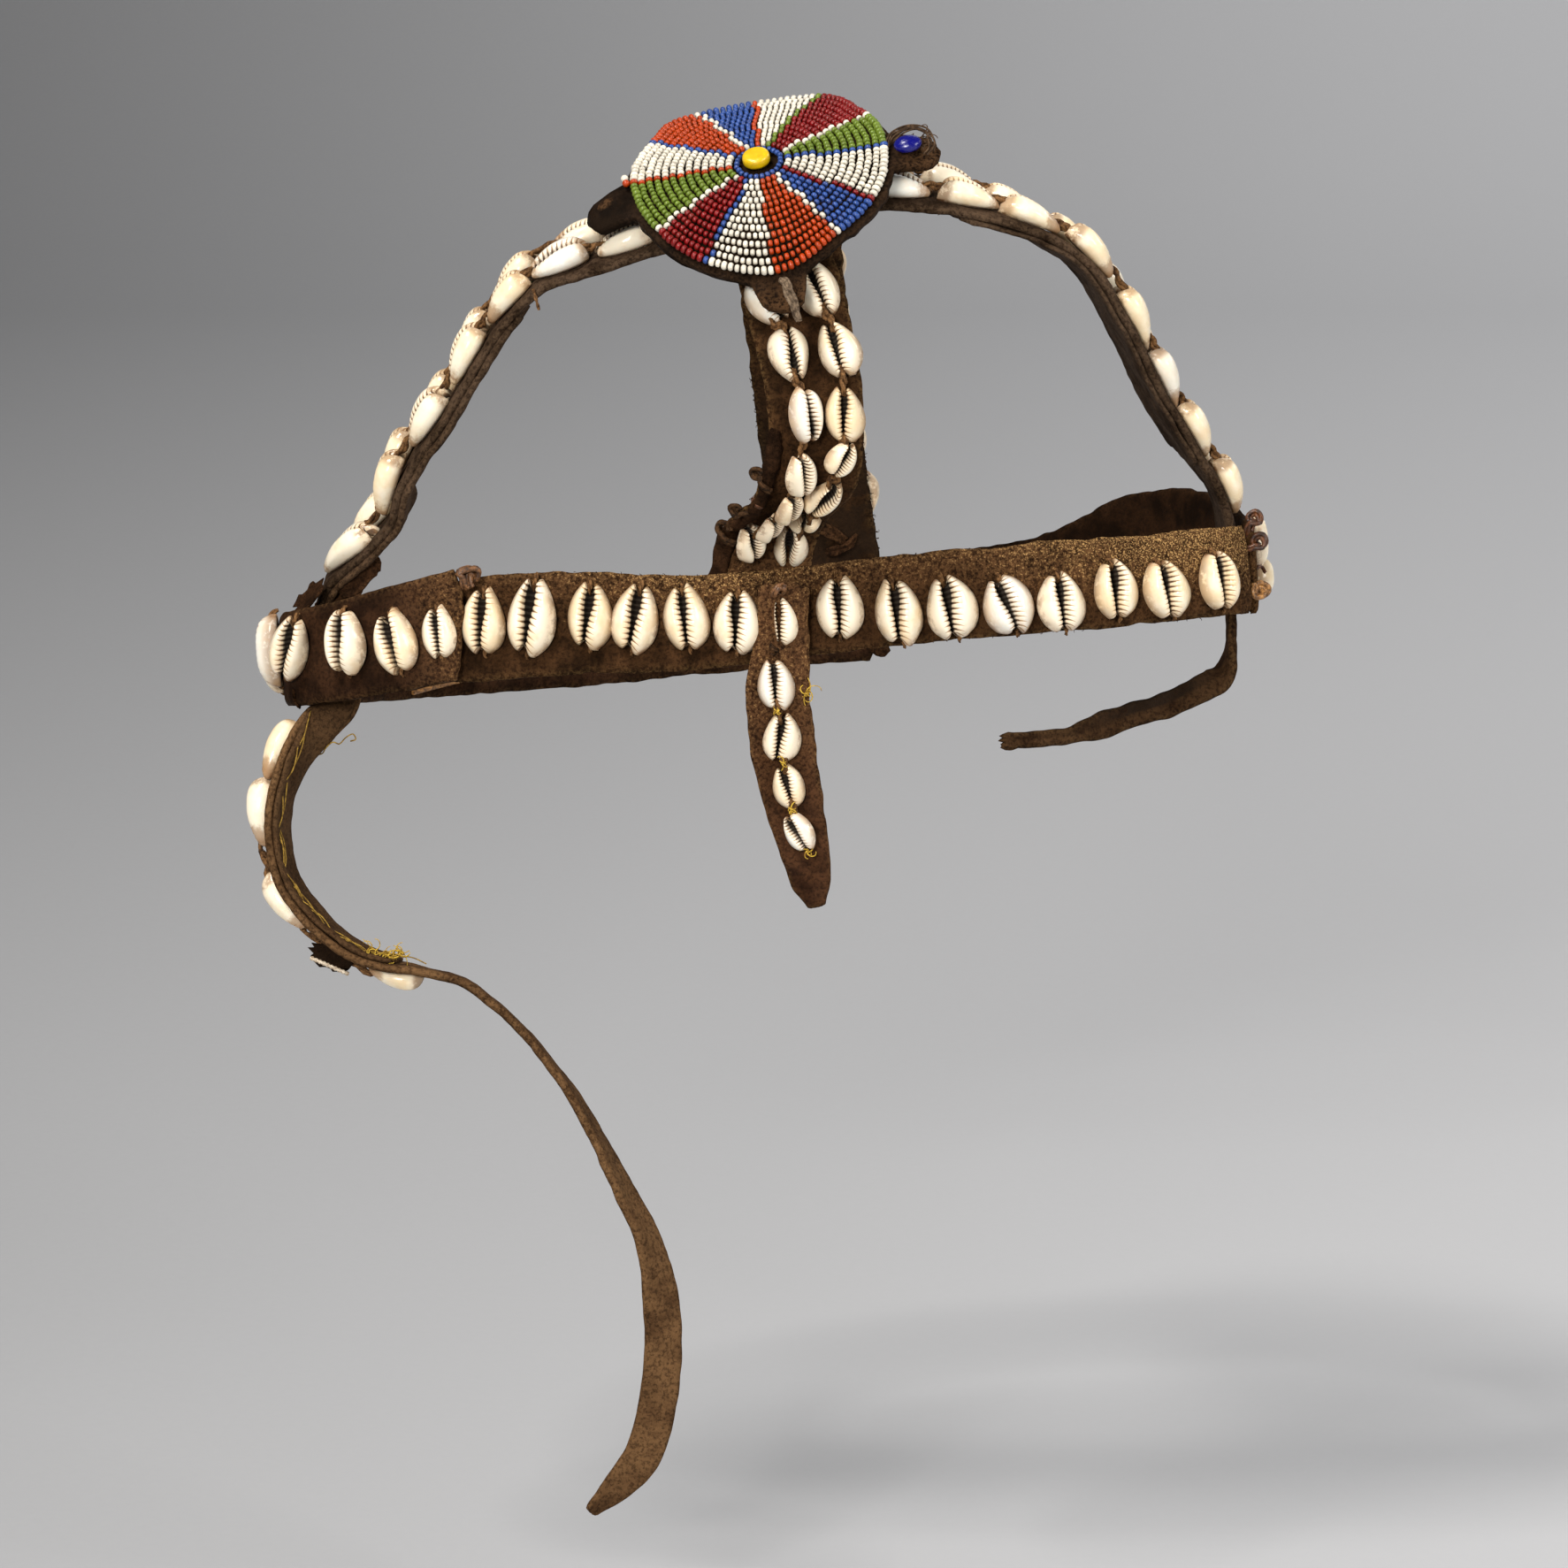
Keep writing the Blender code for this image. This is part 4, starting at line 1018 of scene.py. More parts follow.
# %% The finish of thongs and thread
def thong_finish(name, dark, light, rough=0.6):
    polished = rough < 0.5
    thong = Finish(name, Coat_Weight=0.15 if polished else 0.0,
                   Specular_IOR_Level=0.4 if polished else 0.1)
    streak = thong.spots(1.2, 4, 0.7)
    fleck = thong.spots(0.4, 3, 0.7)
    colour = thong.blend(streak.rise(0.35, 0.65), dark, light)
    # Painted shade between the fibres, where the fleck is low.
    colour = thong.blend((1 - fleck.rise(0.35, 0.5)) * 0.5, colour, dark)
    return thong.complete(colour, rough + 0.25 * fleck, (fleck, 0.15), (streak, 0.2))


THONG = thong_finish("twisted_thong", (0.034, 0.015, 0.006, 1), (0.21, 0.105, 0.04, 1))
AMBER = thong_finish("amber_thong", (0.020, 0.006, 0.0015, 1), (0.12, 0.036, 0.007, 1), 0.4)
DARK_THONG = thong_finish("dark_thong", (0.010, 0.005, 0.0021, 1), (0.070, 0.033, 0.013, 1))
RUST = thong_finish("rust_thong", (0.030, 0.011, 0.0035, 1), (0.22, 0.095, 0.032, 1), 0.4)
GOLDEN = thong_finish("golden_thong", (0.07, 0.028, 0.008, 1), (0.40, 0.19, 0.055, 1), 0.4)
BONE = thong_finish("bone", (0.30, 0.22, 0.14, 1), (0.72, 0.62, 0.48, 1), 0.4)
GREY_THONG = thong_finish("grey_thong", (0.05, 0.033, 0.021, 1), (0.22, 0.155, 0.10, 1))
YELLOW_THREAD = thong_finish("yellow_thread", (0.26, 0.145, 0.02, 1), (0.66, 0.44, 0.06, 1))
DARK_THREAD = thong_finish("dark_thread", (0.025, 0.014, 0.008, 1), (0.11, 0.065, 0.035, 1))
OCHRE_THREAD = thong_finish("ochre_thread", (0.12, 0.066, 0.012, 1), (0.36, 0.22, 0.04, 1))


# %% [markdown]
# A thong is two strands that wind round a line. A strand is a curve with a round bevel, made into a
# mesh once it is in place, because a bevel always keeps its round section where the line bends. Thin
# thread is the same, with fewer sides.

# %% Curves made into meshes
def strand_mesh(name, routes, sides=1):
    """Round strands along routes. A route is a list of points, each with its radius."""
    curve = bpy.data.curves.new(name, "CURVE")
    curve.dimensions = "3D"
    curve.bevel_depth = MM
    curve.bevel_resolution = sides
    curve.use_fill_caps = True
    for route in routes:
        spline = curve.splines.new("POLY")
        spline.points.add(len(route) - 1)
        for target, (point, radius) in zip(spline.points, route):
            target.co = (*(point * MM), 1.0)
            target.radius = radius
    holder = new_object(name, curve)
    bpy.context.view_layer.update()
    mesh = bpy.data.meshes.new_from_object(holder)
    bpy.data.objects.remove(holder)
    bpy.data.curves.remove(curve)
    return mesh


def bend_through(points, steps):
    """More points on a smooth line through a few."""
    knots = [Station(*point, 1, 0, 0) for point in points]
    length = sum(math.dist(a[:3], b[:3]) for a, b in zip(knots, knots[1:]))
    return [Vector(place[:3]) for place in smooth_route(knots, length / steps)]


def twist(points, radius, strands=2, turn=2.6, start=0.0):
    """Strands that wind round a line: one route for each, with its ends tapered."""
    routes = [[] for _ in range(strands)]
    travelled = 0.0
    for i, point in enumerate(points):
        ahead = points[min(i + 1, len(points) - 1)] - points[max(i - 1, 0)]
        across = ahead.cross(Vector((0.3, 1.0, 0.2))).normalized()
        other = across.cross(ahead).normalized()
        if i:
            travelled += (point - points[i - 1]).length
        thin = 0.75 + 0.25 * math.sin(math.pi * i / (len(points) - 1))
        for k, route in enumerate(routes):
            angle = start + math.tau * (k / strands + travelled / turn / radius / 4)
            shift = across * math.cos(angle) + other * math.sin(angle)
            route.append((point + shift * radius * 0.5 * thin, radius * 0.62 * thin))
    return routes


# %% [markdown]
# Two ways of sewing are enough. Shells that follow each other along a strap are linked from mouth to
# mouth, and a shell that lies across the band has a thong at its upper notch and one at its foot.

# %% Sew on the shells
# Where a link runs, from the mouth of a shell to its end: shares of its half length and its height
DIP = ((0.52, 0.45), (0.8, 0.62), (0.98, 0.5))
# The pieces of thong, the node that each stands for, and the straps whose shells it holds
THONGS = (
    ("thongs_band", "band_front_cowries_left", ("band_front", "band_left", "band_right")),
    ("thongs_ear_strap", "ear_cowries_right_near", ("ear_strap",)),
    ("thongs_crown_strap", "crown_front_cowries_left", ("crown_strap",)),
    ("thongs_pendant", "pendant_cowries", ("pendant_strap",)),
    ("thongs_chin", "chin_cowries", ("long_chin_strap",)),
)


def link_points(frames, here, there, height):
    """From the mouth of one shell, over the two ends, into the mouth of the next."""
    points = []
    for shell, towards in ((here, 1), (there, -1)):
        inside = []
        for share, high in DIP:
            frame = frame_at(frames, shell.travelled + towards * shell.length / 2 * share)
            tall = height * shell.width / 10 * high
            inside.append(frame.middle + frame.side * shell.across
                          + frame.out * (SHELL_BED + tall))
        points += inside if towards > 0 else inside[::-1]
    return bend_through(points, 14)


def notch_thongs(frames, shell, height, start):
    """The two thongs of a shell across the band: shares of its half length, and heights."""
    base, up, out = shell_place(frames, shell, False)
    half, tall = shell.length / 2, height * shell.width / 10
    top = ((0.6, tall * 0.15), (0.74, tall * 0.32), (0.86, tall * 0.28), (0.96, 0.6), (1.0, -0.3))
    foot = ((-0.8, tall * 0.1), (-0.93, tall * 0.2), (-1.0, 0.3), (-1.03, -0.3))
    routes = []
    for line, steps, radius in ((top, 9, 0.6), (foot, 7, 0.45)):
        points = [base + up * half * share + out * high for share, high in line]
        routes += twist(bend_through(points, steps), radius, start=start)
    return routes


for name, node, straps in THONGS:
    routes = []
    for row in ROWS:
        if row.strap not in straps:
            continue
        frames = STRAPS[row.strap]
        if row.lengthwise:
            for here, there in zip(row.shells, row.shells[1:]):
                routes += twist(link_points(frames, here, there, row.height), 0.85)
        else:
            for k, shell in enumerate(row.shells):
                routes += notch_thongs(frames, shell, row.height, k)
    add_piece(name, strand_mesh(name, routes), THONG, node)

# %% [markdown]
# The medallion is a leather disc that bends over the crossing. Everything on it is first made flat,
# in millimetres from its middle, and `disc_point` then lays it on the bent disc. Its rim isn't a
# true circle, so a short table gives how far it reaches in each direction.

# %% The medallion's form
DISC_RADIUS = 28.4
BEADS_DEPTH = 2.0
DISC_CENTRE = Vector((0.0, -9.0, 12.3))
DISC_ROLL = 9.4        # degrees by which its right side is higher
DISC_LEAN = 58.5       # degrees by which its face looks up
DISC_BEND = 0.857      # degrees that it bends in every millimetre from front to back
# How far the beads reach, every 30 degrees from +X towards the back
RIM_REACH = (27.6, 27.4, 30.9, 30.2, 31.0, 26.9, 27.7, 28.1, 29.4, 31.0, 28.1, 28.5)


def disc_point(a, b, depth):
    """A point of the medallion: a towards +X, b towards the back, depth under its face. The disc
    bends over the crossing from front to back, and its rim's slope goes on past the rim."""
    roll, lean = math.radians(DISC_ROLL), math.radians(DISC_LEAN)
    right = Vector((math.cos(roll), 0.0, math.sin(roll)))
    face = Vector((0.0, -math.cos(lean), math.sin(lean)))
    face = (face - face.dot(right) * right).normalized()
    back = face.cross(right)
    bend = math.radians(DISC_BEND)
    held = max(-DISC_RADIUS, min(DISC_RADIUS, b))
    angle = bend * held
    slope = back * math.cos(angle) - face * math.sin(angle)
    normal = face * math.cos(angle) + back * math.sin(angle)
    point = DISC_CENTRE + right * a + back * math.sin(angle) / bend
    point -= face * (1 - math.cos(angle)) / bend
    return point + slope * (b - held) - normal * depth


DISC_EAST = (disc_point(1, 0, 0) - disc_point(0, 0, 0)).normalized()
DISC_BACK = (disc_point(0, 1, 0) - disc_point(0, 0, 0)).normalized()
DISC_FACE = DISC_EAST.cross(DISC_BACK)


def rim_reach(direction):
    """The reach of the rim in a direction in degrees, between the two nearest of the table."""
    place = direction % 360 / 30
    i = int(place)
    share = soft(place - i, 0, 1)
    return RIM_REACH[i % 12] * (1 - share) + RIM_REACH[(i + 1) % 12] * share


# %% [markdown]
# The disc and the two large beads on it each start as a line of joined points that is spun right
# round. Spinning a line gives even rings of faces, which a filled circle wouldn't have.

# %% Lines, and lines spun round
def draw_line(bm, points):
    """New points in a mesh, each joined to the next."""
    verts = [bm.verts.new(point) for point in points]
    return verts, [bm.edges.new(pair) for pair in zip(verts, verts[1:])]


def spin_line(bm, points, steps):
    """A line spun right round the Z axis, with its first and last copies joined."""
    verts, edges = draw_line(bm, points)
    bmesh.ops.spin(bm, geom=verts + edges, cent=(0, 0, 0), axis=(0, 0, 1), angle=math.tau,
                   steps=steps, use_merge=True)
    bmesh.ops.remove_doubles(bm, verts=bm.verts, dist=0.0001)


# %% [markdown]
# The disc is a straight line spun round the middle. A tab stands out in four directions, where the
# disc is sewn down: the outline just reaches further there. The edge is a little ragged.

# %% The medallion's leather
Tab = namedtuple("Tab", "direction reach")
TABS = (Tab(-2.8, 37.6), Tab(90, 38.0), Tab(187, 37.4), Tab(271.4, 38.0))
SPOKES = 180
LANES = 30             # from the middle of the disc to its rim
TORN_PATCH = Vector((-33.6, -2.2, 0.0))        # where the left tab has worn through to its dust


def leather_reach(direction):
    reach = rim_reach(direction) + 0.75
    for tab in TABS:
        off = abs((direction - tab.direction + 180) % 360 - 180)
        reach += (tab.reach + 0.4 - reach) * (1 - soft(off, 5.8, 12)) * (1 - 0.02 * off)
    return reach + 0.5 * noise.noise(Vector((math.cos(math.radians(direction)) * 9,
                                             math.sin(math.radians(direction)) * 9, 0)))


bm = bmesh.new()
spin_line(bm, [(i / LANES, 0, 0) for i in range(LANES + 1)], SPOKES)
bmesh.ops.recalc_face_normals(bm, faces=bm.faces)
edge_layer, worn_layer = (bm.verts.layers.float.new(name) for name in ("edge", "worn"))
for vert in bm.verts:
    direction = math.degrees(math.atan2(vert.co.y, vert.co.x))
    share = vert.co.length
    reach = leather_reach(direction)
    beyond = max(0.0, share * reach - rim_reach(direction)) / 9
    flat = vert.co.normalized() * share * reach
    sag = (3.2 if 160 < direction % 360 < 220 else 1.8) * beyond**2
    sag += 0.35 * noise.noise(flat / 4) + 0.15 * noise.noise(flat / 1.5)
    vert[edge_layer] = soft(share, 0.955, 1.0)
    left_tab = 150 < direction % 360 < 225
    torn = math.exp(-((flat - TORN_PATCH).length / 2.2)**2)
    vert[worn_layer] = 1.9 * torn - 1.3 * beyond if left_tab else 0.2 + 0.5 * beyond
    vert.co = disc_point(flat.x, flat.y, BEADS_DEPTH + 1.5 + sag) * MM
backing = add_piece("leather_medallion", bm, DISC_HIDE, "medallion_backing")
thicken(backing, 2.4)

# %% [markdown]
# Twelve sectors of colour fan out from the middle of the beadwork, and a line of beads of another
# colour parts most of them. A painted image on one smooth disc would be lighter, but its beads would
# be flat. Here every bead is real, and it takes its colour from its direction.

# %% The colours of the beads
RED, ORANGE, GREEN, BLUE, WHITE = (
    (0.19, 0.003, 0.004, 1), (0.39, 0.036, 0.0004, 1), (0.125, 0.185, 0.018, 1),
    (0.022, 0.064, 0.25, 1), (0.71, 0.655, 0.545, 1))
# The direction in which a sector starts, the sector's colour, and the line of beads before it
Sector = namedtuple("Sector", "start colour line")
SECTORS = (
    Sector(-3, GREEN, BLUE), Sector(25.5, RED, WHITE), Sector(61.5, WHITE, GREEN),
    Sector(88, BLUE, ORANGE), Sector(113, ORANGE, WHITE), Sector(146.5, WHITE, BLUE),
    Sector(181, GREEN, ORANGE), Sector(213.5, RED, WHITE), Sector(241.5, WHITE, BLUE),
    Sector(269.5, ORANGE, None), Sector(301.5, BLUE, WHITE), Sector(324, WHITE, RED))
FIRST_RING, LAST_RING = 6.45, 27.2             # radii; a blue ring lies inside the first
BEAD_PITCH = 1.24


def bead_colour(direction, radius):
    """The colour of a bead from its direction in degrees, or of the line that it belongs to."""
    if radius < FIRST_RING:
        return BLUE
    direction = (direction + 3) % 360 - 3
    colour = SECTORS[-1].colour
    for sector in SECTORS:
        off = (direction - sector.start + 180) % 360 - 180
        if sector.line and abs(math.radians(off)) * radius < BEAD_PITCH * 0.5:
            return sector.line
        if direction >= sector.start:
            colour = sector.colour
    return colour


print("The beads lie in", len(SECTORS), "sectors")

# %% [markdown]
# The beads are strung in rings. Each ring starts as one bead, a ball of a few dozen faces pressed
# into a drum whose hole lies along the thread. Spin copies it round the ring. The rings are then
# pulled out to the rim's reach and laid on the disc, and no two beads are quite the same size.

# %% String the seed beads
Ring = namedtuple("Ring", "radius count long wide")
RINGS = 13
MEAN_REACH = 28.1      # where the rim reaches this far, the rings stay round
BLUE_RING = Ring(4.75, 25, 1.3, 1.1)           # it lies round the bead in the middle
LOOSE_BEADS = ((-28.7, 1.5, WHITE), (-28.5, -0.2, ORANGE))


def string_ring(bm, ring):
    """A ball pressed into a drum whose hole lies along its thread, and its copies all round."""
    first = len(bm.verts)
    verts = bmesh.ops.create_uvsphere(bm, u_segments=8, v_segments=6, radius=1.0)["verts"]
    for vert in verts:
        x, y, z = vert.co
        away = math.hypot(x, y)
        pole = away < 0.01
        swell = 0.0 if pole else away**-0.4
        vert[hole_layer] = float(pole)
        vert.co = (ring.radius + x * swell * ring.long / 2,
                   z * (0.55 if pole else 1.0) * ring.wide / 2,
                   y * swell * ring.long / 2)
    faces = {face for vert in verts for face in vert.link_faces}
    edges = {edge for vert in verts for edge in vert.link_edges}
    bmesh.ops.spin(bm, geom=[*verts, *edges, *faces], cent=(0, 0, 0), axis=(0, 0, 1),
                   angle=math.tau / ring.count * (ring.count - 1), steps=ring.count - 1,
                   use_duplicate=True)
    bm.verts.ensure_lookup_table()
    return bm.verts[first:]


def lay_ring(verts, ring, chance):
    """Give each bead its own size, place and tone, and lay the ring on the disc."""
    step = math.tau / ring.count
    sizes = [chance.uniform(0.88, 1.06) for _ in range(ring.count)]
    shifts = [chance.uniform(-0.12, 0.12) for _ in range(ring.count)]
    tones = [chance.uniform(0.82, 1.12) for _ in range(ring.count)]
    for vert in verts:
        i = round(math.atan2(vert.co.y, vert.co.x) / step) % ring.count
        outwards = Vector((math.cos(i * step), math.sin(i * step), 0))
        direction = math.degrees(i * step)
        off = vert.co - outwards * ring.radius
        pull = 1 + (rim_reach(direction) / MEAN_REACH - 1) * (ring.radius / LAST_RING)**2
        flat = outwards * (ring.radius * pull + shifts[i]) + off * sizes[i]
        colour = bead_colour(direction, ring.radius)
        vert[tint_layer] = (*(min(1.0, part * tones[i]) for part in colour[:3]), 1)
        vert.co = disc_point(flat.x, flat.y, BEADS_DEPTH / 2 - 0.1 - flat.z) * MM


rings = [BLUE_RING]
for k in range(RINGS - 1):
    radius = FIRST_RING + (LAST_RING - FIRST_RING) * k / (RINGS - 1)
    rings.append(Ring(radius, round(math.tau * radius / BEAD_PITCH), 1.56, 1.12))
rings.append(Ring(LAST_RING, round(math.tau * LAST_RING / (BEAD_PITCH * 1.06)), 2.0, 1.26))

bead_mesh = bmesh.new()
tint_layer = bead_mesh.verts.layers.float_color.new("tint")
hole_layer = bead_mesh.verts.layers.float.new("hole")
chance = random.Random(21)
for ring in rings:
    lay_ring(string_ring(bead_mesh, ring), ring, chance)
# Two beads have come off their thread and lie at the left tab
for a, b, colour in LOOSE_BEADS:
    for vert in bmesh.ops.create_uvsphere(bead_mesh, u_segments=8, v_segments=6,
                                          radius=0.85)["verts"]:
        vert[tint_layer] = colour
        vert.co = disc_point(a + vert.co.x, b + vert.co.y, 0.6 - vert.co.z) * MM
bmesh.ops.recalc_face_normals(bead_mesh, faces=bead_mesh.faces)
print("The medallion has", sum(ring.count for ring in rings), "seed beads in rings")

# %% [markdown]
# The beads are opaque glass. Each keeps its own `tint`, and `hole` paints shade at the ends of the
# drum, in the hole where the thread goes in. Grime dulls the gloss, so that they don't look new.

# %% The finish of the beads
def bead_finish():
    glass = Finish("seed_beads", Coat_Weight=0.22, Coat_Roughness=0.12, Specular_IOR_Level=0.3)
    tint, hole = glass.stored("tint", "Color"), glass.stored("hole")
    grime = glass.spots(0.7, 4, 0.7)
    patina = glass.spots(6, 3, 0.6)
    colour = glass.blend(grime.rise(0.5, 0.72) * 0.35, tint, (0.12, 0.07, 0.035, 1))
    colour = glass.blend(patina.rise(0.5, 0.75) * 0.06, colour, (0.22, 0.13, 0.06, 1))
    # Painted shade in the hole at each end of a bead.
    colour = glass.blend(hole.rise(0.1, 0.9) * 0.85, colour, (0.01, 0.007, 0.005, 1))
    return glass.complete(colour, 0.22 + 0.3 * grime, (grime, 0.04))


add_piece("seed_beads", bead_mesh, bead_finish(), "medallion_beadwork")

# %% [markdown]
# A fat yellow bead sits in the hole in the middle, and an oval cobalt bead lies on the right tab.
# Each is a profile spun round, then laid in the plane of the disc's face.

# %% Two large beads
def spun_bead(name, profile, centre, size, finish, node, lean=0.0):
    """A profile of distances and heights, spun round and stretched to size in the disc's plane."""
    bm = bmesh.new()
    spin_line(bm, [(away, 0, tall) for away, tall in profile], 40)
    for vert in bm.verts:
        x, y, z = vert.co
        z += lean * x + 0.03 * noise.noise(vert.co * 2.5)
        point = (centre + DISC_EAST * x * size[0] / 2 + DISC_BACK * y * size[1] / 2
                 + DISC_FACE * z * size[2] / 2)
        vert.co = point * MM
    bmesh.ops.recalc_face_normals(bm, faces=bm.faces)
    add_piece(name, bm, finish, node)


def glass_finish(name, colour, stain, rough, coat):
    glass = Finish(name, Coat_Weight=coat, Coat_Roughness=0.05)
    cloud = glass.spots(2.4, 3, 0.6)
    scratch = glass.spots(0.5, 4, 0.75, stretch=(0.35, 1, 1))
    mixed = glass.blend(cloud.rise(0.35, 0.7) * 0.45, colour, stain)
    mixed = glass.blend(scratch.rise(0.6, 0.7) * 0.55, mixed, stain)
    return glass.complete(mixed, rough + 0.35 * scratch.rise(0.5, 0.7), (scratch, 0.06),
                          (cloud, 0.12))


DRUM = [(0, 0.97), (0.5, 1.0), (0.78, 0.97), (0.9, 0.86), (0.97, 0.62), (1, 0.2), (1, -0.4),
        (0.96, -0.8), (0.7, -1.0), (0, -1.0)]
OVAL = [(0, 1)]
OVAL += [(math.sin(k * math.pi / 14), math.cos(k * math.pi / 14)) for k in range(1, 14)]
OVAL += [(0, -1)]
spun_bead("yellow_bead", DRUM, disc_point(-0.4, 0.5, 0.1), (5.9, 5.6, 2.4),
          glass_finish("yellow_glass", (0.70, 0.45, 0.002, 1), (0.46, 0.25, 0.003, 1), 0.3, 0.2),
          "medallion_centre_bead", 0.05)
spun_bead("cobalt_bead", OVAL, disc_point(31.8, -3.0, 0.2), (6.0, 4.6, 3.2),
          glass_finish("cobalt_glass", (0.001, 0.0012, 0.13, 1), (0.004, 0.005, 0.16, 1), 0.16,
                       0.1),
          "tab_bead")

# %% [markdown]
# Loose ends are what make old hide look handled. They could be hair particles, but those fall where
# they like, and these have places of their own. So all of them are short strands along a few points.
# A loop of grey thong, three twisted cords side by side, holds the front tab.

# %% The thong at the front tab
def disc_route(points, steps):
    return bend_through([disc_point(*point) for point in points], steps)


routes = []
for k, shift in enumerate((-0.36, 0.0, 0.36)):
    line = disc_route([(1.3 + shift, -32.4, 1.6), (1.6 + shift * 1.2, -33.4, -0.4),
                       (2.2 + shift * 1.4, -35.4, -0.6), (2.7 + shift * 1.3, -38.0, 0.3),
                       (3.2 + shift * 0.9, -40.6, 1.2), (3.4 + shift * 0.4, -42.0, 2.2)], 22)
    routes += twist(line, 0.72, turn=3.5, start=k)
add_piece("grey_thong_loop", strand_mesh("grey_thong_loop", routes), GREY_THONG, "tab_thong")


# %% [markdown]
# Thread frays where it is cut. A fray is a tuft of strands that each curl their own way from a spot.
# The spot says where the tuft is, its three directions, how many strands it has, and their size and
# radius.

# %% Frayed thread
def frayed(centre, right, up, out, count, size, radius, seed):
    """Fine thread that curls about a point."""
    chance = random.Random(seed)
    routes = []
    for _ in range(count):
        heading = chance.uniform(0, math.tau)
        start = chance.uniform(0, math.tau)
        turn = chance.uniform(1.5, 5.5) * chance.choice((-1, 1))
        reach = size * chance.uniform(0.5, 1.1)
        lift = chance.uniform(0.1, 0.8) * size * 0.5
        points = []
        for i in range(9):
            far = i / 8
            angle = start + turn * far
            spread = reach * (0.25 + 0.75 * far)
            points.append(centre + right * (math.cos(heading) * reach * far * 0.6
                                            + math.cos(angle) * spread * 0.45)
                          + up * (math.sin(heading) * reach * far * 0.6
                                  + math.sin(angle) * spread * 0.45)
                          + out * (lift * math.sin(far * 2.6)))
        line = bend_through(points, 20)
        routes.append([(point, radius * (1 - 0.5 * i / len(line)))
                       for i, point in enumerate(line)])
    return routes


def add_fray(name, spots, finish, node):
    """A tuft at every spot, each with a seed of its own, and all of them one piece."""
    routes = []
    for number, spot in enumerate(spots):
        routes += frayed(*spot, seed=number + len(name))
    add_piece(name, strand_mesh(name, routes, sides=0), finish, node)


# %% [markdown]
# Round the cobalt bead the dark thread has come loose: short tufts stand in a half circle, and six
# longer loops lie over each other beside the bead. Each loop strays by `noise_vector`, which starts
# from the clock until it is given a seed. With one, every run bends the thread the same way.

# %% Dark thread at the right tab
STRAY_SEED = 5         # for the loops here and the curls of thong further on
noise.seed_set(STRAY_SEED)
around = [disc_point(32.6 + 4.0 * math.cos(turn), -1.6 + 2.8 * math.sin(turn), 1.6)
          for turn in (-0.9, -0.3, 0.3, 0.9, 1.5, 2.1)]
add_fray("dark_thread_at_tab", [(spot, DISC_EAST, DISC_BACK, DISC_FACE, 2, 3.0, 0.17)
                                for spot in around], DARK_THREAD, "tab_bead")
routes = []
for k in range(6):
    long, wide, start = 4.2 + 0.28 * k, 3.5 + 0.3 * k, -0.9 + 0.35 * (k % 3)
    loop = []
    for i in range(12):
        turn = start + 3.3 * i / 11
        stray = noise.noise_vector(Vector((i / 3, k * 2.0, 0.5))) * 0.9
        loop.append((32.2 + long * math.cos(turn) + stray.x, -2.6 + wide * math.sin(turn)
                     + stray.y, 1.4 - 1.8 * math.sin(math.pi * i / 11)))
    routes.append([(point, 0.2) for point in disc_route(loop, 40)])
add_piece("thread_loops_at_tab", strand_mesh("thread_loops_at_tab", routes), DARK_THREAD,
          "tab_bead")


# %% [markdown]
# The yellow thread is frizzier, so its tufts have more strands. Those on the chin strap stand in
# front of it, and those on the flap sit between its shells and at its edge.

# %% Yellow thread
EAST, UP, FRONT = Vector((1, 0, 0)), Vector((0, 0, 1)), Vector((0, -1, 0))


def strap_spot(strap, travelled, across, rise, count, size, radius):
    """A spot for a tuft on a strap, in the directions of its frame there."""
    frame = frame_at(STRAPS[strap], travelled)
    centre = frame.middle + frame.side * across + frame.out * rise
    return centre, frame.along, frame.side, frame.out, count, size, radius


add_fray("yellow_thread_on_chin_strap", [
    (Vector((-80.6, -13.4, -160.2)), EAST, UP, FRONT, 22, 3.8, 0.17),
    (Vector((-77.8, -13.6, -159.6)), EAST, UP, FRONT, 14, 3.6, 0.16),
    (Vector((-84.4, -13.0, -159.0)), EAST, UP, FRONT, 8, 3.2, 0.15)],
    YELLOW_THREAD, "chin_cowries")
add_fray("yellow_thread_on_flap", [
    strap_spot("pendant_strap", 47.6, 6.4, 1.4, 12, 3.2, 0.17),
    strap_spot("pendant_strap", 44, -0.2, 3.6, 7, 1.8, 0.2),
    strap_spot("pendant_strap", 32.6, -0.4, 3.4, 7, 1.8, 0.2),
    strap_spot("pendant_strap", 22, -0.4, 3.4, 8, 2.0, 0.2),
    strap_spot("pendant_strap", 12.4, 0.6, 2.4, 7, 2.0, 0.2)], YELLOW_THREAD, "pendant_cowries")


# %% [markdown]
# Ochre thread joins the two layers of the chin strap. Three rows of running stitches show along its
# inside, with stitches and gaps of uneven length, and the end of the thread hangs loose.

# %% Stitches
def stitches(strap, first, last, across, inside, length, seed):
    """Running stitches of thread along one face of a strap."""
    chance = random.Random(seed)
    routes = []
    far = first
    while far < last:
        points = []
        for i in range(4):
            frame = frame_at(STRAPS[strap], far + length * i / 3)
            side = across + chance.uniform(-0.35, 0.35)
            points.append(frame.middle + frame.side * side
                          - frame.out * (inside + (0.3 if 0 < i < 3 else -0.5)))
        routes.append([(point, 0.14) for point in bend_through(points, 9)])
        far += length * chance.uniform(0.8, 1.5)
    return routes


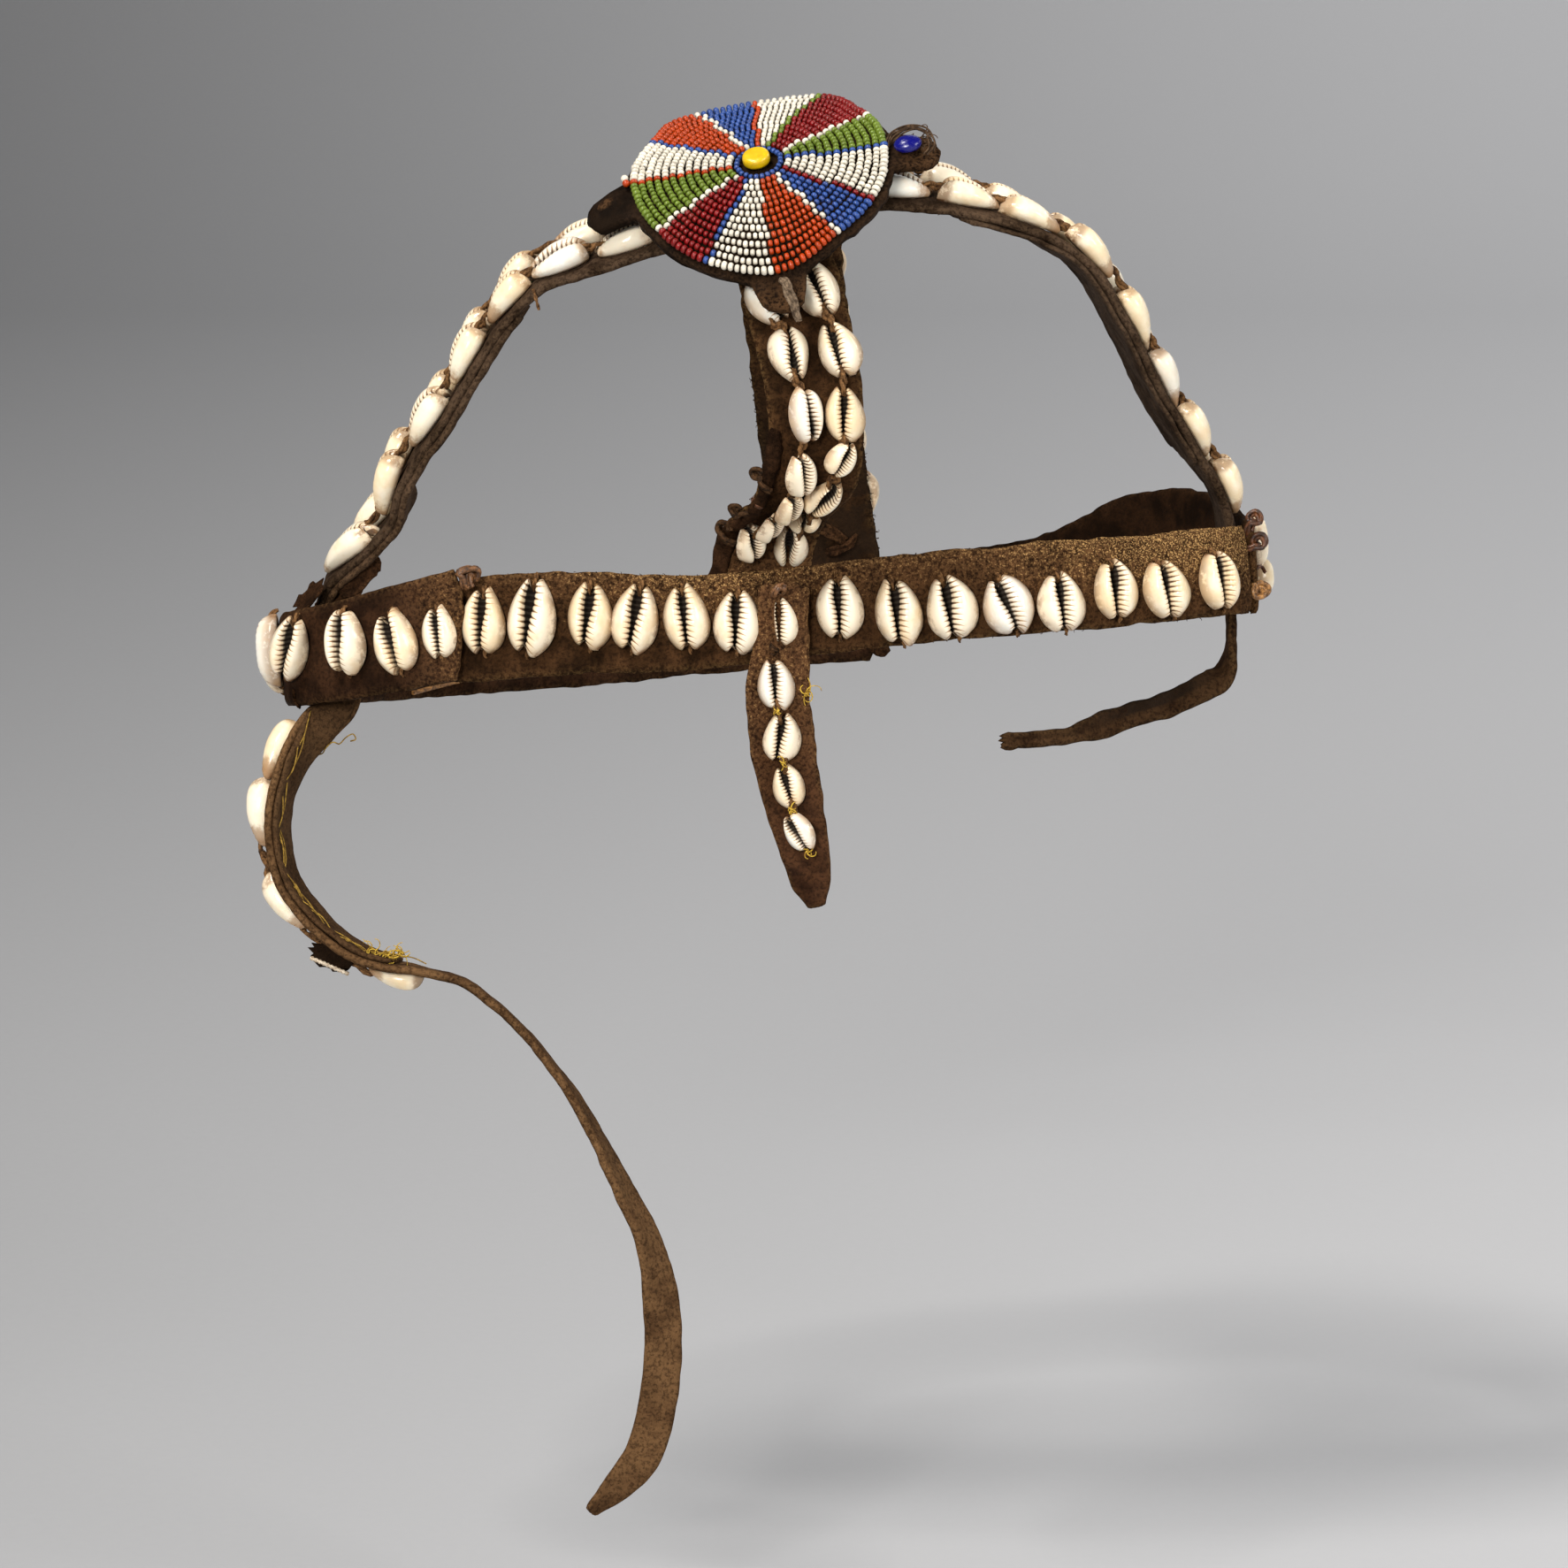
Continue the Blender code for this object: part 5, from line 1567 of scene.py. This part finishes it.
routes = (stitches("long_chin_strap", 16, 86, -3.4, 1.75, 8.0, 31)
          + stitches("long_chin_strap", 20, 82, -2.7, 1.75, 9.5, 32)
          + stitches("long_chin_strap", 44, 84, -3.1, 1.8, 7.0, 33))
loose = bend_through([
    (-97.8, 4.4, -119.8), (-95.6, 5.0, -119.4), (-94.6, 3.2, -117.8), (-93.0, 3.0, -116.4),
    (-91.6, 2.8, -116.8), (-90.2, 2.8, -115.4), (-88.6, 3.0, -114.6), (-88.0, 3.0, -115.8),
    (-89.2, 3.0, -116.2)], 30)
routes.append([(point, 0.16) for point in loose])
add_piece("ochre_stitches", strand_mesh("ochre_stitches", routes), OCHRE_THREAD,
          "long_chin_strap")


# %% [markdown]
# Cut hide sheds fibre. Tufts of one or two fine strands along the edges of the straps break up their
# outlines, which would otherwise look like cut card.

# %% Fibre along the cut edges
def hem_spots(strap, rise, spans, count, size, radius, every=1.4, seed=5):
    """Spots along the edges of a strap; a span is where it starts, where it ends, and its side."""
    chance = random.Random(seed)
    spots = []
    for first, last, side in spans:
        far = first
        while far < last:
            frame = frame_at(STRAPS[strap], far)
            centre = (frame.middle + frame.side * side * frame.width / 2
                      + frame.out * chance.uniform(-1, 1) * rise)
            spots.append((centre, frame.along, frame.side * side, frame.out, count,
                          size * chance.uniform(0.5, 1.2), radius))
            far += every * chance.uniform(0.5, 1.6)
    return spots


add_fray("fibre_of_crown_strap", hem_spots("crown_strap", 1.0, (
    (0, 34, 1), (0, 44, -1), (250, 300, 1), (250, 300, -1)), 2, 0.9, 0.1),
    ROUGH_HIDE, "crown_strap")
add_fray("fibre_of_ear_strap", hem_spots("ear_strap", 1.0, (
    (0, 30, -1), (60, 120, -1), (250, 296, -1), (250, 296, 1)), 1, 0.8, 0.1, 3.0, seed=6),
    ROUGH_HIDE, "ear_strap")
add_fray("fibre_of_band", hem_spots("band_front", 1.0, (
    (0, 190, 1), (0, 190, -1)), 1, 0.6, 0.09, 3.5, seed=7), ROUGH_HIDE, "band_front")

# %% [markdown]
# Where straps end, the hide has torn and folded. Each scrap is a short strip of its own, laid by
# the same two functions as the straps, with frayed ends. It belongs to the strap it hangs from.

# %% Torn scraps of hide
Scrap = namedtuple("Scrap", "name node width yaw rise worn points")
SCRAPS = (
    Scrap("scrap_at_left_ear", "ear_strap", 6.4, 20, 40, 0.3,
          ((-97.6, 8.8, -88.6), (-91.6, 7.4, -86.4), (-85.6, 6.6, -82.6))),
    Scrap("fold_at_left_ear", "ear_strap", 4.4, 10, 70, 0.2,
          ((-91.6, 6.6, -85.0), (-86.6, 5.6, -81.0), (-82.6, 5.8, -74.8))),
    Scrap("ragged_left_ear", "ear_strap", 5.0, 20, 62, 0.0,
          ((-101.6, 8.6, -88.6), (-98.0, 6.6, -85.6), (-94.4, 5.4, -81.2))),
    Scrap("scrap_of_back_strap", "crown_strap", 2.8, 0, 75, 0.3,
          ((11.4, 108.6, -85.0), (16.4, 107.4, -87.6), (20.8, 108.4, -90.4))),
    Scrap("scrap_below_back_strap", "crown_strap", 2.4, 0, 60, 0.2,
          ((14.4, 108.8, -93.0), (19.4, 107.4, -91.4), (23.2, 108.6, -87.8))),
    Scrap("scrap_of_band_tail", "band_left", 4.0, 10, 60, 0.3,
          ((22.6, 109.8, -110.2), (27.2, 110.4, -114.6), (30.2, 111.2, -118.2))),
    Scrap("scrap_at_left_corner", "band_left", 6.0, 75, 0, 0.2,
          ((-101.4, 6.0, -104.2), (-101.2, 5.2, -107.0), (-100.2, 4.4, -109.6))),
    Scrap("scrap_behind_lip", "long_chin_strap", 4.6, 10, 70, -1.0,
          ((-98.0, -9.6, -159.2), (-93.6, -10.4, -161.0), (-87.6, -11.0, -162.6))),
)
for number, scrap in enumerate(SCRAPS):
    frames = lay_strap([Station(*point, scrap.width, scrap.yaw, scrap.rise)
                        for point in scrap.points])
    add_strip(scrap.name, frames, TORN_HIDE, scrap.node, 0.9, 40 + number, evenly(scrap.worn),
              ragged=0.8, frayed_start=2.0, frayed_end=2.0, cup=-0.8)

# %% [markdown]
# Three small marks are left: a stiff twig of fibre that sticks out of the ear strap, the pale broken
# lip of a shell on the chin strap, and a bright scratch inside the back of the band.

# %% Small marks of wear
twig = bend_through([(-47.9, -9.6, -15.4), (-47.2, -11.4, -17.4), (-46.6, -11.8, -19.6)], 12)
add_piece("fibre_twig", strand_mesh("fibre_twig", twist(twig, 0.4)), THONG, "ear_strap")
lip = [(Vector((-97.6 + 0.42 * i, -10.8 - 0.06 * i, -161.5 - 0.17 * i)), 0.56 if i % 2 else 0.36)
       for i in range(21)]
add_piece("broken_lip", strand_mesh("broken_lip", [lip], 2), BONE, "chin_cowries")
scratch = [frame_at(STRAPS["band_left"], far) for far in range(122, 141)]
scratch = [(frame.middle - frame.side * (8.4 - 0.14 * i) - frame.out * 1.5, 0.55)
           for i, frame in enumerate(scratch)]
add_piece("bright_scratch", strand_mesh("bright_scratch", [scratch]), GOLDEN, "band_left")

# %% [markdown]
# The thongs of the band and the straps end in curls that stand off the leather. Each is a short line
# in an upright plane: points to the right and up, in millimetres, from its middle. Noise bends the
# line out of the plane, and the twist of two strands makes it a thong.

# %% Curled ends of thong
Curl = namedtuple("Curl", "name x y z tube points finish node", defaults=(THONG, None))


def coil(radius, turns, tighten, start=-1.4):
    """A coil that winds inwards."""
    line = []
    for i in range(21):
        angle, away = start + math.tau * turns * i / 20, radius * (1 - tighten * i / 20)
        line.append((away * math.cos(angle), away * math.sin(angle)))
    return line


CURLS = (
    Curl("band_knot", -62.3, -11.0, -76.6, 1.15, (
        (-0.9, -3.2), (-1.2, -1.2), (-2.0, 0.3), (-0.8, 1.0), (1.4, 1.0), (2.1, 0.2), (1.0, -0.9),
        (-0.2, -0.3), (0.7, -3.0)), RUST),
    Curl("corner_knot_upper", 108.2, 12.2, -68.4, 0.85, (
        (-2.0, -4.0), (-1.6, -2.4), (-0.9, -1.0), *coil(1.15, 1.0, 0.1), (-0.6, -2.6)), AMBER),
    Curl("corner_knot_middle", 109.4, 11.6, -73.4, 0.85, (
        (-3.4, -1.6), (-1.4, -1.2), *coil(1.2, 1.0, 0.1), (-2.2, -1.4)), AMBER),
    Curl("corner_knot_lower", 109.8, 11.2, -84.2, 0.95, (
        (-3.0, 0.6), (-2.2, 0.6), *coil(1.75, 1.6, 0.75, 2.6)), GOLDEN),
    Curl("strap_knot_upper", 0.2, -28.6, -53.2, 0.95, (
        (2.6, -2.6), (1.1, -1.9), (0.2, -0.9), (0.2, 0.2), (-0.9, 0.5), (-1.2, 1.4), (-0.1, 1.8),
        (0.7, 1.1)), DARK_THONG),
    Curl("strap_knot_middle", -4.2, -22.0, -61.2, 0.9, (
        (3.6, -0.6), (2.1, -0.6), (0.8, -0.6), (-0.4, -1.0), (-1.1, -0.2), (-1.3, 0.8),
        (-0.3, 0.9), (0.4, 0.1)), DARK_THONG),
    Curl("strap_knot_lower", -7.6, -15.6, -66.4, 1.05, (
        (2.4, -2.8), (1.0, -2.1), (-0.3, -1.0), (-0.9, 0.3), (-0.3, 1.3), (1.1, 1.1),
        (1.4, 0.0)), DARK_THONG),
    Curl("flap_knot_upper", 4.6, -18.4, -79.0, 0.85, (
        (-1.4, -1.2), (-0.9, 0.3), (0.2, 0.9), (1.1, 0.4), (0.6, -0.5), (-0.2, -0.2), (0.9, 1.4)),
        RUST, "pendant_strap"),
    Curl("flap_knot_lower", 3.6, -20.6, -91.4, 0.5, (
        (-0.9, 1.1), (-0.3, 0.2), (0.5, -0.2), (0.2, -1.0), (-0.7, -0.8)), DARK_THONG,
        "pendant_strap"),
    Curl("amber_knot", -0.6, -25.0, -58.8, 0.62, (
        (1.2, -1.2), *coil(0.75, 0.9, 0.3)), AMBER, "crown_strap"),
    Curl("knob_hook", 110.2, 16.2, -80.4, 0.5, (
        (-1.8, -0.6), (-0.9, 0.5), (0.2, 0.4), (1.0, -0.6)), AMBER, "band_right"),
)
for curl in CURLS:
    middle = Vector((curl.x, curl.y, curl.z))
    line = bend_through([middle + EAST * right + UP * up for right, up in curl.points], 34)
    line = [point + noise.noise_vector(point / 1.6) * 0.35 + FRONT * 0.9 * math.sin(i / 5)
            for i, point in enumerate(line)]
    routes = twist(line, curl.tube, turn=5)
    add_piece("curl_" + curl.name, strand_mesh("curl_" + curl.name, routes), curl.finish,
              curl.node or curl.name)

# %% [markdown]
# The floor is one sheet of paper that sweeps up behind, so no line shows where the floor ends. Its
# section is drawn first and then pulled out sideways. The paper is painted darker towards the left,
# as painted shade where less light falls.

# %% Floor and backdrop
FLOOR = -0.312         # its height, in metres, like all the sizes of the studio
FLOOR_FRONT, FLOOR_BACK = -3.0, 2.2
SWEEP = 1.4            # radius of the bend between the floor and the wall
WALL_TOP = 5.0
FLOOR_WIDTH = 9.0

points = [(FLOOR_FRONT, FLOOR), (FLOOR_BACK, FLOOR)]
for k in range(1, 13):
    angle = math.radians(90 * k / 12)
    points.append((FLOOR_BACK + SWEEP * math.sin(angle), FLOOR + SWEEP * (1 - math.cos(angle))))
points.append((FLOOR_BACK + SWEEP, WALL_TOP))
bm = bmesh.new()
verts, edges = draw_line(bm, [(-FLOOR_WIDTH / 2, y, z) for y, z in points])
made = bmesh.ops.extrude_edge_only(bm, edges=edges)["geom"]
bmesh.ops.translate(bm, verts=[part for part in made if isinstance(part, bmesh.types.BMVert)],
                    vec=(FLOOR_WIDTH, 0, 0))
bmesh.ops.recalc_face_normals(bm, faces=bm.faces)
mesh = bpy.data.meshes.new("studio_floor")
bm.to_mesh(mesh)
bm.free()
mesh.shade_smooth()

paper = Finish("pale_paper", Specular_IOR_Level=0.1)
fibre = paper.spots(2.5, 3, 0.6)
place = paper.node("ShaderNodeTexCoord", {}, {}, "Object")
# Painted light: the paper darkens towards the left and pales towards the right.
right = paper.node("ShaderNodeSeparateXYZ", {}, {"Vector": place}, "X").rise(-0.9, 0.7)
shade = paper.blend(right + fibre * 0.04, (0.205, 0.207, 0.213, 1), (0.555, 0.56, 0.576, 1))
paper.complete(shade, 0.95)
mesh.materials.append(paper.material)
floor = new_object("studio_floor", mesh)
floor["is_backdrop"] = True

# %% [markdown]
# Large lights give soft shadows, and round ones leave round reflections in the beads. The key light
# stands high at the left. One from low in front opens the shadows under the shells, a weaker one
# fills the right side, and a faint one from behind draws the back edges. The last lights only the
# backdrop.

# %% Lights
def area_light(name, place, target, size, power, colour=(1, 1, 1)):
    """A round light at a place, turned towards its target."""
    light = bpy.data.lights.new(name, "AREA")
    light.shape = "DISK"
    light.size = size
    light.energy = power
    light.color = colour
    lamp = new_object(name, light)
    lamp.location = place
    lamp.rotation_euler = (Vector(target) - Vector(place)).to_track_quat("-Z", "Y").to_euler()
    print("Light", name, "gives", power, "watts")


area_light("key", (-1.05, -0.9, 2.2), (0.0, 0.0, -0.05), 0.7, 58, (1.0, 0.965, 0.92))
area_light("front", (-0.7, -2.2, 0.75), (0.0, 0.0, -0.05), 0.7, 46, (1.0, 0.975, 0.94))
area_light("right", (1.7, -1.2, 0.9), (0.0, 0.1, -0.05), 0.9, 26, (1.0, 0.99, 0.97))
area_light("back", (0.5, 2.3, 1.5), (0.0, 0.05, -0.1), 1.0, 3.5, (1.0, 0.99, 0.97))
area_light("backdrop", (3.0, 1.4, 1.6), (1.2, 3.2, 0.0), 1.2, 32)
world = bpy.data.worlds.new("studio")
bpy.context.scene.world = world
world.use_nodes = True
sky = world.node_tree.nodes["Background"].inputs
sky["Color"].default_value = (0.97, 0.98, 1.0, 1)
sky["Strength"].default_value = 0.19

# %% [markdown]
# A long lens a good metre away keeps the near shells from looking too large. The camera looks 12
# degrees down. The standard view shows every colour as it was mixed.

# %% Camera
lens = bpy.data.cameras.new("camera")
lens.lens = 138.9
lens.sensor_width = 36
lens.clip_start, lens.clip_end = 0.05, 30
camera = new_object("camera", lens)
camera.location = (0.0055, -1.2911, 0.1493)
camera.rotation_euler = (math.radians(78), 0, 0)
bpy.context.scene.camera = camera
bpy.context.scene.view_settings.view_transform = "Standard"
print("The camera has a lens of", round(lens.lens), "mm")

# %% [markdown]
# The finished headdress must stay about as large as its solid model, so both boxes are written down.

# %% Compare the sizes and finish
made_box = [list(corner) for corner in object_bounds()]
for low_high, cad, made in zip(("lowest", "highest"), CAD_BOX, made_box):
    print(low_high, [round(1000 * a, 1) for a in cad], [round(1000 * a, 1) for a in made])
